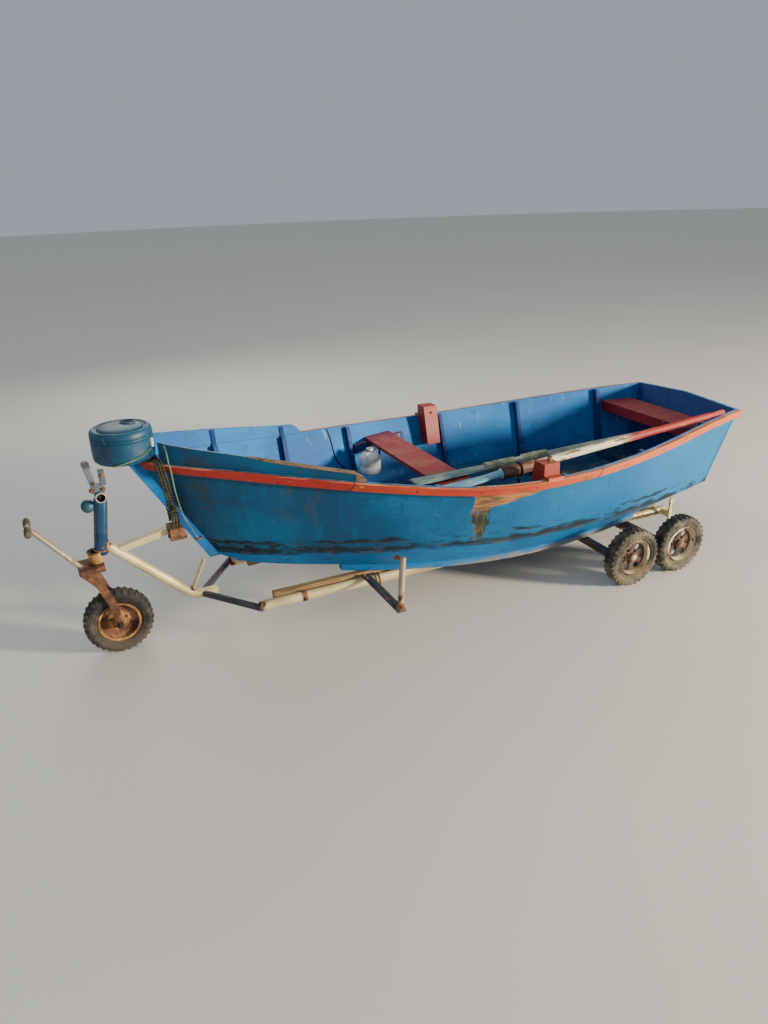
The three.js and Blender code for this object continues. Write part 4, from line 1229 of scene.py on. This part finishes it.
def side_rail_y(x):
    """How far out the middle of a side rail lies, by the drawing's x."""
    (fore_x, fore_y), (aft_x, aft_y) = SIDE_RAIL["fore"], SIDE_RAIL["aft"]
    return fore_y + (aft_y - fore_y) * (fore_x - x) / (fore_x - aft_x)


def add_brace(name, side):
    """A front brace, let into the open end of its side tube and welded round."""
    (x, y), z = SIDE_RAIL["fore"], SIDE_RAIL["z"]
    start = place(x + 0.0193, side * (y + 0.004), z + 0.001)
    back = (start - place(1.790, side * 0.010, z + 0.003)).normalized()
    bm = copy_of(f"front_brace_{name}")
    for vert in bm.verts:
        if (vert.co - start).length < 0.024:
            vert.co += back * 0.030
    show(bm, f"brace_tube_{name}", "dark", stands_for=[f"front_brace_{name}"])
    bead = weld(circle(place(x + 0.001, side * (y + 0.0055), z), (1, 0, 0), 0.0255), 0.005, side)
    show(bead, f"brace_weld_{name}", "rust", sharp=60)


def add_drawbar():
    """The drawbar's fore end is cut to the leaning post that it is welded to."""
    end, rising = place(*DRAWBAR_END), Vector((0.700, 0, 0.714))
    post = surface("head_post")
    bm = copy_of("drawbar")
    for vert in bm.verts:
        if (vert.co - end).length < 0.030:
            spot, _ = meeting(post, vert.co - rising * 0.002, rising)
            vert.co = spot + rising * 0.0005
    show(bm, "drawbar_tube", "cream", stands_for=["drawbar"])
    bead = [meeting(post, corner - rising * 0.012, rising)[0] for corner in circle(end, rising, 0.0285)]
    show(weld(bead, 0.005, 4.0), "drawbar_weld", "rust", sharp=60)


def u_bolt(x, y, z):
    """A round bar over a side tube, down both its sides to the cross bar, with a nut under each leg."""
    reach, leg = TUBE + 0.0045, UP * 0.078
    parts = []
    for shift in (-0.011, 0.011):
        angles = [math.pi * step / 14 for step in range(15)]
        arch = [place(x + shift, y + reach * math.cos(a), z + reach * math.sin(a)) for a in angles]
        parts.append(strand([arch[0] - leg, *arch, arch[-1] - leg], 0.0038))
    for across in (-reach, reach):
        parts.append(bolt(place(x, y + across, CROSS_BAR["low"]), (0, 0, -1), 0.010, 0.007))
    return parts


def add_trailer_frame():
    z = SIDE_RAIL["z"]
    for name, side in SIDES.items():
        bm = copy_of(f"side_rail_{name}")
        for end, direction in (("fore", 1), ("aft", -1)):
            x, y = SIDE_RAIL[end]
            hollow_end(bm, (direction, 0, 0), place(x, y * side, z), 0.10)
        show(bm, f"side_tube_{name}", "cream", stands_for=[f"side_rail_{name}"], extra=["hollow"])
        add_brace(name, side)
        dress(f"bunk_{name}", f"bunk_timber_{name}", "wood", 0.005, uneven=(0.0015, 4, side))

        (fore_x, fore_y), (aft_x, aft_y) = SIDE_RAIL["fore"], SIDE_RAIL["aft"]
        along = (aft_x - fore_x, side * (aft_y - fore_y), 0)
        y, outer = side_rail_y(CLAMP_X), TUBE + 0.003
        clamp = turned(band(TUBE + 0.0003, outer, -0.014, 0.014), 32, along, place(CLAMP_X, side * y, z))
        parts = [clamp, bolt(place(CLAMP_X, side * (y + outer), z), (0, side, 0))]
        for x in CROSS_BARS:
            parts += u_bolt(x, side * side_rail_y(x), z)
        show(together(parts), f"side_tube_clamps_{name}", "rust", sharp=40)
    add_drawbar()
    for number, x in enumerate(CROSS_BARS, 1):
        bm = copy_of(f"cross_bar_{number}")
        ease(bm, 0.004)
        for side in (1, -1):
            end = place(x, side * (side_rail_y(x) + 0.024), CROSS_BAR["low"] + CROSS_BAR["half"])
            hollow_end(bm, (0, side, 0), end, 0.06)
        show(bm, f"cross_member_{number}", "dark", stands_for=[f"cross_bar_{number}"], extra=["hollow"])


def gusset(corners, thick):
    """A triangular plate; its thickness runs along X."""
    web = bmesh.new()
    bmesh.ops.contextual_create(web, geom=[web.verts.new(corner) for corner in corners])
    grown = bmesh.ops.extrude_face_region(web, geom=web.faces[:])
    bmesh.ops.translate(web, vec=(thick, 0, 0), verts=moved_verts(grown))
    bmesh.ops.translate(web, vec=(-thick / 2, 0, 0), verts=web.verts)
    bmesh.ops.recalc_face_normals(web, faces=web.faces)
    return web


def add_guides():
    """A flat arm, and a round post in a rusty socket with a worn open top."""
    for name, side in SIDES.items():
        x = GUIDE["x"] - MIDDLE
        y = side * (GUIDE["outer"] - GUIDE["post"] - 0.006)

        def on_post(middle, normal):
            near = abs(abs(middle.y) - abs(y)) < 0.019
            return middle.z > GUIDE["foot"] or (near and middle.z > GUIDE["foot"] - 0.0005)

        dress(f"guide_{name}", f"guide_arm_{name}", "dark", 0.0015, angle=50, choose=on_post, even=False,
              extra=["pale_post"])
        foot, tip = Vector((x, y, GUIDE["foot"])), Vector((x, y - side * GUIDE["lean"], GUIDE["top"]))
        lean = Vector((0, -side * GUIDE["lean"], 0.333)).normalized()
        outline = [(0.0185, 0), (0.0235, 0), (0.0235, 0.042), (0.0215, 0.045), (0.0185, 0.045), (0.0185, 0)]
        socket = turned(outline, 28, lean, foot)
        outline = [(0.0, -0.0015), (0.0120, -0.0015), (0.0125, 0.0010), (0.0178, 0.0012), (0.0183, -0.003),
                   (0.0183, -0.012)]
        lip = turned(outline, 28, lean, tip - lean * 0.0005)
        parts = [socket, lip, weld(circle(foot, (0, 0, 1), 0.0245), 0.0035, side)]
        parts.append(bolt(Vector((x, y + side * 0.0240, 0.300)), (0, side, 0), 0.008, 0.006))
        for reach in (0.0, 0.040):
            middle = side * (side_rail_y(GUIDE["x"]) + reach)
            parts.append(bolt(Vector((x + 0.014, middle, 0.2755)), (0, 0, 1), 0.009, 0.007))
        corners = [(x, y - side * inward, height) for inward, height in
                   ((0.021, 0.2757), (0.052, 0.2757), (0.0235, 0.318))]
        parts.append(gusset(corners, 0.006))
        show(together(parts), f"guide_socket_{name}", "rust", sharp=45)


def add_wheel_arms():
    """Each arm has a weld round its root at the side tube, round its outer plate and round the stub axle."""
    for which, axle_x in AXLES.items():
        for name, side in SIDES.items():
            dress(f"wheel_arm_{which}_{name}", f"arm_{which}_{name}", "dark", 0.002, angle=50, even=False)
            x = axle_x + CRANK
            plate_y = side * (WHEEL_Y - WHEEL_WIDTH / 2 - 0.022)
            root_y = side * (side_rail_y(x) + TUBE * 0.86)
            parts = []
            for y, wide, low, high, thick in ((plate_y - side * 0.001, 0.024, 0.022, 0.022, 0.0035),
                                              (root_y, 0.023, 0.020, 0.021, 0.004)):
                corners = [place(x + dx, y, ARM_Z + dz) for dx, dz in
                           ((-wide, -low), (wide, -low), (wide, high), (-wide, high))]
                parts.append(weld(seam(corners), thick, axle_x + len(parts)))
            axle = place(axle_x, plate_y + side * 0.010, WHEEL_RADIUS)
            parts.append(weld(circle(axle, (0, 1, 0), 0.0135, 20), 0.003, axle_x + 2))
            show(together(parts), f"arm_welds_{which}_{name}", "rust", sharp=60)


def tyre_lug(angle, side, across):
    """One lug, from the middle of the tread over one shoulder."""
    lug = box_at((-0.0075, 0.004, -0.012), (0.0075, across * 0.86, 0.0065), 0.002, 1)
    for vert in lug.verts:
        beyond = vert.co.y - across * 0.5
        if beyond > 0:
            vert.co.z -= beyond ** 2 * 16
            vert.co.x += beyond * 0.35
    bmesh.ops.scale(lug, vec=(1, side, 1), verts=lug.verts)
    if side < 0:
        bmesh.ops.reverse_faces(lug, faces=lug.faces)
    upright = Matrix(((0, 0, 1, 0), (1, 0, 0, 0), (0, 1, 0, 0), (0, 0, 0, 1)))
    out = Matrix.Translation((WHEEL_RADIUS - 0.007, 0, 0))
    bmesh.ops.transform(lug, matrix=Matrix.Rotation(angle, 4, "Z") @ out @ upright, verts=lug.verts)
    return lug


def tyre_mesh(spot):
    """A small barrow tyre: round shoulders, two ridges on each wall and staggered lugs."""
    w, r, seat = WHEEL_WIDTH / 2, WHEEL_RADIUS, RIM_RADIUS + 0.0003
    half = [
        (seat, 0.70), (seat + 0.005, 0.76), (seat + 0.010, 0.80), (seat + 0.012, 0.86), (seat + 0.016, 0.87),
        (seat + 0.018, 0.86), (seat + 0.030, 0.955), (seat + 0.036, 0.995), (seat + 0.040, 0.995),
        (seat + 0.043, 0.975), (r - 0.024, 0.94), (r - 0.016, 0.86), (r - 0.009, 0.72), (r - 0.006, 0.5),
        (r - 0.0052, 0.2),
    ]
    profile = [(a, -w * b) for a, b in half] + [(a, w * b) for a, b in reversed(half)]
    bm = turned([*profile, profile[0]], 72)
    for index in range(LUGS):
        for side, shift in ((1, 0.5), (-1, 0)):
            merge(bm, tyre_lug((index + shift) * math.tau / LUGS, side, w))
    return put(bm, towards((0, 1, 0)), Vector(spot))


def rim_bolts(spot, side, count, first, radius, out, size):
    """Bolts round a hub, the first of them at an angle in degrees."""
    bolts = []
    for step in range(count):
        angle = math.radians(first + 360 / count * step)
        bolts.append(bolt(spot + Vector((radius * math.cos(angle), side * out, radius * math.sin(angle))),
                          (0, side, 0), size, size - 0.001))
    return bolts


def rim_centre(spot, radius):
    """Chooses the faces of a rim that lie within a radius of its axle."""
    return lambda middle, normal: math.hypot(middle.x - spot.x, middle.z - spot.z) < radius


def add_wheels():
    """Dished rims, pale outside their windows and rusty round the hub."""
    for which, axle_x in AXLES.items():
        for name, side in SIDES.items():
            label = f"{which}_{name}"
            body = f"wheel_{label}"
            spot, out = place(axle_x, side * WHEEL_Y, WHEEL_RADIUS), Vector((0, side, 0))
            show(tyre_mesh(spot), f"tyre_tread_{label}", "rubber", body, stands_for=[f"tyre_{label}"])
            dress(f"rim_{label}", f"rim_disc_{label}", "rim", 0.0015, choose=rim_centre(spot, 0.097),
                  even=False, body=body, extra=["rim_centre"])
            outline = [(0, 0.0065), (0.012, 0.006), (0.020, 0.003), (0.022, 0), (0.022, -0.002)]
            cap = turned(outline, 28, out, spot + out * CAP_OUT)
            outline = [(0, 0.030), (0.0028, 0.030), (0.0035, 0.022), (0.0048, 0.020), (0.0055, 0), (0, 0)]
            valve = turned(outline, 14, (-0.25, side * 0.9, -0.5), spot + Vector((0.103, side * 0.010, 0.0)))
            bolts = rim_bolts(spot, side, 4, 30, 0.046, 0.0115, 0.008)
            show(together(bolts), f"rim_bolts_{label}", "iron", body, sharp=40)
            show(cap, f"hub_cap_{label}", "ring" if which == "fore" else "rust", body, "rim_paint", sharp=50)
            show(valve, f"valve_{label}", "rubber", body, sharp=50)
    spot, body = place(CASTOR_X, 0, WHEEL_RADIUS), "castor_wheel"
    show(tyre_mesh(spot), "castor_tread", "clean_rubber", body, stands_for=["castor_tyre"])
    dress("castor_rim", "castor_disc", "rust", 0.0015, choose=rim_centre(spot, 0.058), even=False, body=body,
          extra=["ochre"])
    bolts = [made for side in (1, -1) for made in rim_bolts(spot, side, 5, 18, 0.047, 0.0112, 0.007)]
    show(together(bolts), "castor_bolts", "rust", body, sharp=40)


def add_bow_support():
    """The strut and chock under the stem, and the short strut behind it, welded to the drawbar."""
    down, foot = Vector(STRUT_LINE), place(*STRUT_FOOT)
    thick, wide = Vector((-STRUT_LINE[2], 0, STRUT_LINE[0])) * 0.006, Vector((0, 0.023, 0))
    corners = [foot + thick + wide, foot + thick - wide, foot - thick - wide, foot - thick + wide]
    show(weld(seam(corners), 0.0045, 5.0), "strut_weld", "rust", sharp=60)
    dress("bow_strut", "bow_strut_piece", "cream", 0.002)
    dress("bow_chock", "bow_chock_piece", "cross_wood", 0.005, uneven=(0.0018, 12))
    bm = copy_of("forefoot_strut")
    ease(bm, 0.002)
    for vert in bm.verts:
        if vert.co.z < STRUT_FOOT[2] + 0.030:
            vert.co += down * 0.008
    show(bm, "forefoot_strut_piece", "cream", stands_for=["forefoot_strut"], even=True)
    skin = surface("bow_chock")
    spots = [meeting(skin, place(2.10, y, 0.672), (-1, 0, 0)) for y in (0.038, -0.038)]
    show(together(bolt(*spot, 0.010, 0.008) for spot in spots), "chock_bolts", "iron", sharp=40)


def head_part(middle, normal):
    """Which finish a face of the head takes: blue paint, ochre sleeve, knob, grey casting or tube inside."""
    x, z = middle.x + MIDDLE, middle.z
    from_tube = math.hypot(x - HEAD_TUBE["x"], z - HEAD_TUBE["z"])
    from_pin = math.hypot(x - HEAD_X, middle.y)
    if z < SLEEVE["top"] and from_pin < SLEEVE["radius"]:
        return 1 if from_pin > SLEEVE["bore"] else 4
    if math.hypot(x - KNOB["x"], z - KNOB["z"]) < KNOB["radius"] and x > KNOB["from"]:
        return 2
    if from_tube < HEAD_TUBE["bore"]:
        return 4
    if z > CASTING_Z or from_tube < HEAD_TUBE["rim"] and abs(middle.y) > 0.036:
        return 3
    return 0


def fork_part(middle, normal):
    """Which finish a face of the castor takes: rusty legs, rubber grip, dark pin or pale pull bar."""
    x, y, z = middle.x + MIDDLE, abs(middle.y), middle.z
    if z > 0.845 and y > 0.020:
        return 1
    if z > 0.620 and x > 2.45:
        return 3
    return 2 if y < 0.022 and z > 0.615 and x < 2.38 else 0


def add_head():
    dress("head_post", "head_fitting", "blue_post", 0.002, angle=50, choose=head_part, even=False,
          extra=["ochre", "blue_knob", "grey_cast", "hollow"])
    ends = [place(HEAD_TUBE["x"], side * HEAD_TUBE["end"], HEAD_TUBE["z"]) for side in (1, -1)]
    rings = [hoop(end, (0, 1, 0), HEAD_TUBE["ring"], 0.0035) for end in ends]
    show(together(rings), "head_tube_rings", "ring", sharp=60)
    parts = [weld(circle(place(HEAD_X, 0, SLEEVE["low"]), (0, 0, 1), SLEEVE["radius"]), 0.004, 1.0),
             weld(circle(place(*POST_FOOT["at"]), POST_FOOT["line"], POST_FOOT["radius"]), 0.0045, 2.0)]
    for x, y, z, size in HEAD_BOLTS:
        parts.append(bolt(place(x, y, z), (0, 1, 0), size, size - 0.002))
    show(together(parts), "head_bolts", "rust", sharp=40)


def add_castor_fork():
    body = "castor_swivel"
    dress("castor_fork", "castor_legs", "rust", 0.0015, angle=50, choose=fork_part, even=False, body=body,
          extra=["rubber", "iron", "pale_post"])
    nuts = []
    for name, side in SIDES.items():
        nuts.append(bolt(place(CASTOR_X, side * 0.077, WHEEL_RADIUS), (0, side, 0), 0.013, 0.010))
        outline = [(0.0155, -0.044), (0.0185, -0.042), (0.0185, 0.040), (0.0165, 0.043), (0.0155, 0.043)]
        grip = [turned(outline, 24, (0, 1, 0), place(GRIP["x"], side * GRIP["y"], GRIP["z"]))]
        for shift in (-0.03, -0.018, -0.006, 0.006, 0.018, 0.03):
            spot = place(GRIP["x"], side * (GRIP["y"] + shift), GRIP["z"])
            grip.append(hoop(spot, (0, 1, 0), GRIP["radius"], 0.0012, 20, 1))
        show(together(grip), f"pull_grip_{name}", "rubber", body, sharp=50)
    nuts.append(turned(band(0.0212, 0.037, 0.5922, 0.5988), 32, spot=place(HEAD_X, 0, 0)))
    show(together(nuts), "castor_nuts", "iron", body, sharp=40)


for build in (add_camera, add_studio, add_planking, add_backbone, add_rails, add_washboards, add_frames,
              add_seats, add_drum, add_oars, add_bailer, add_lashings, add_trailer_frame, add_guides,
              add_wheel_arms, add_wheels, add_bow_support, add_head, add_castor_fork):
    build()
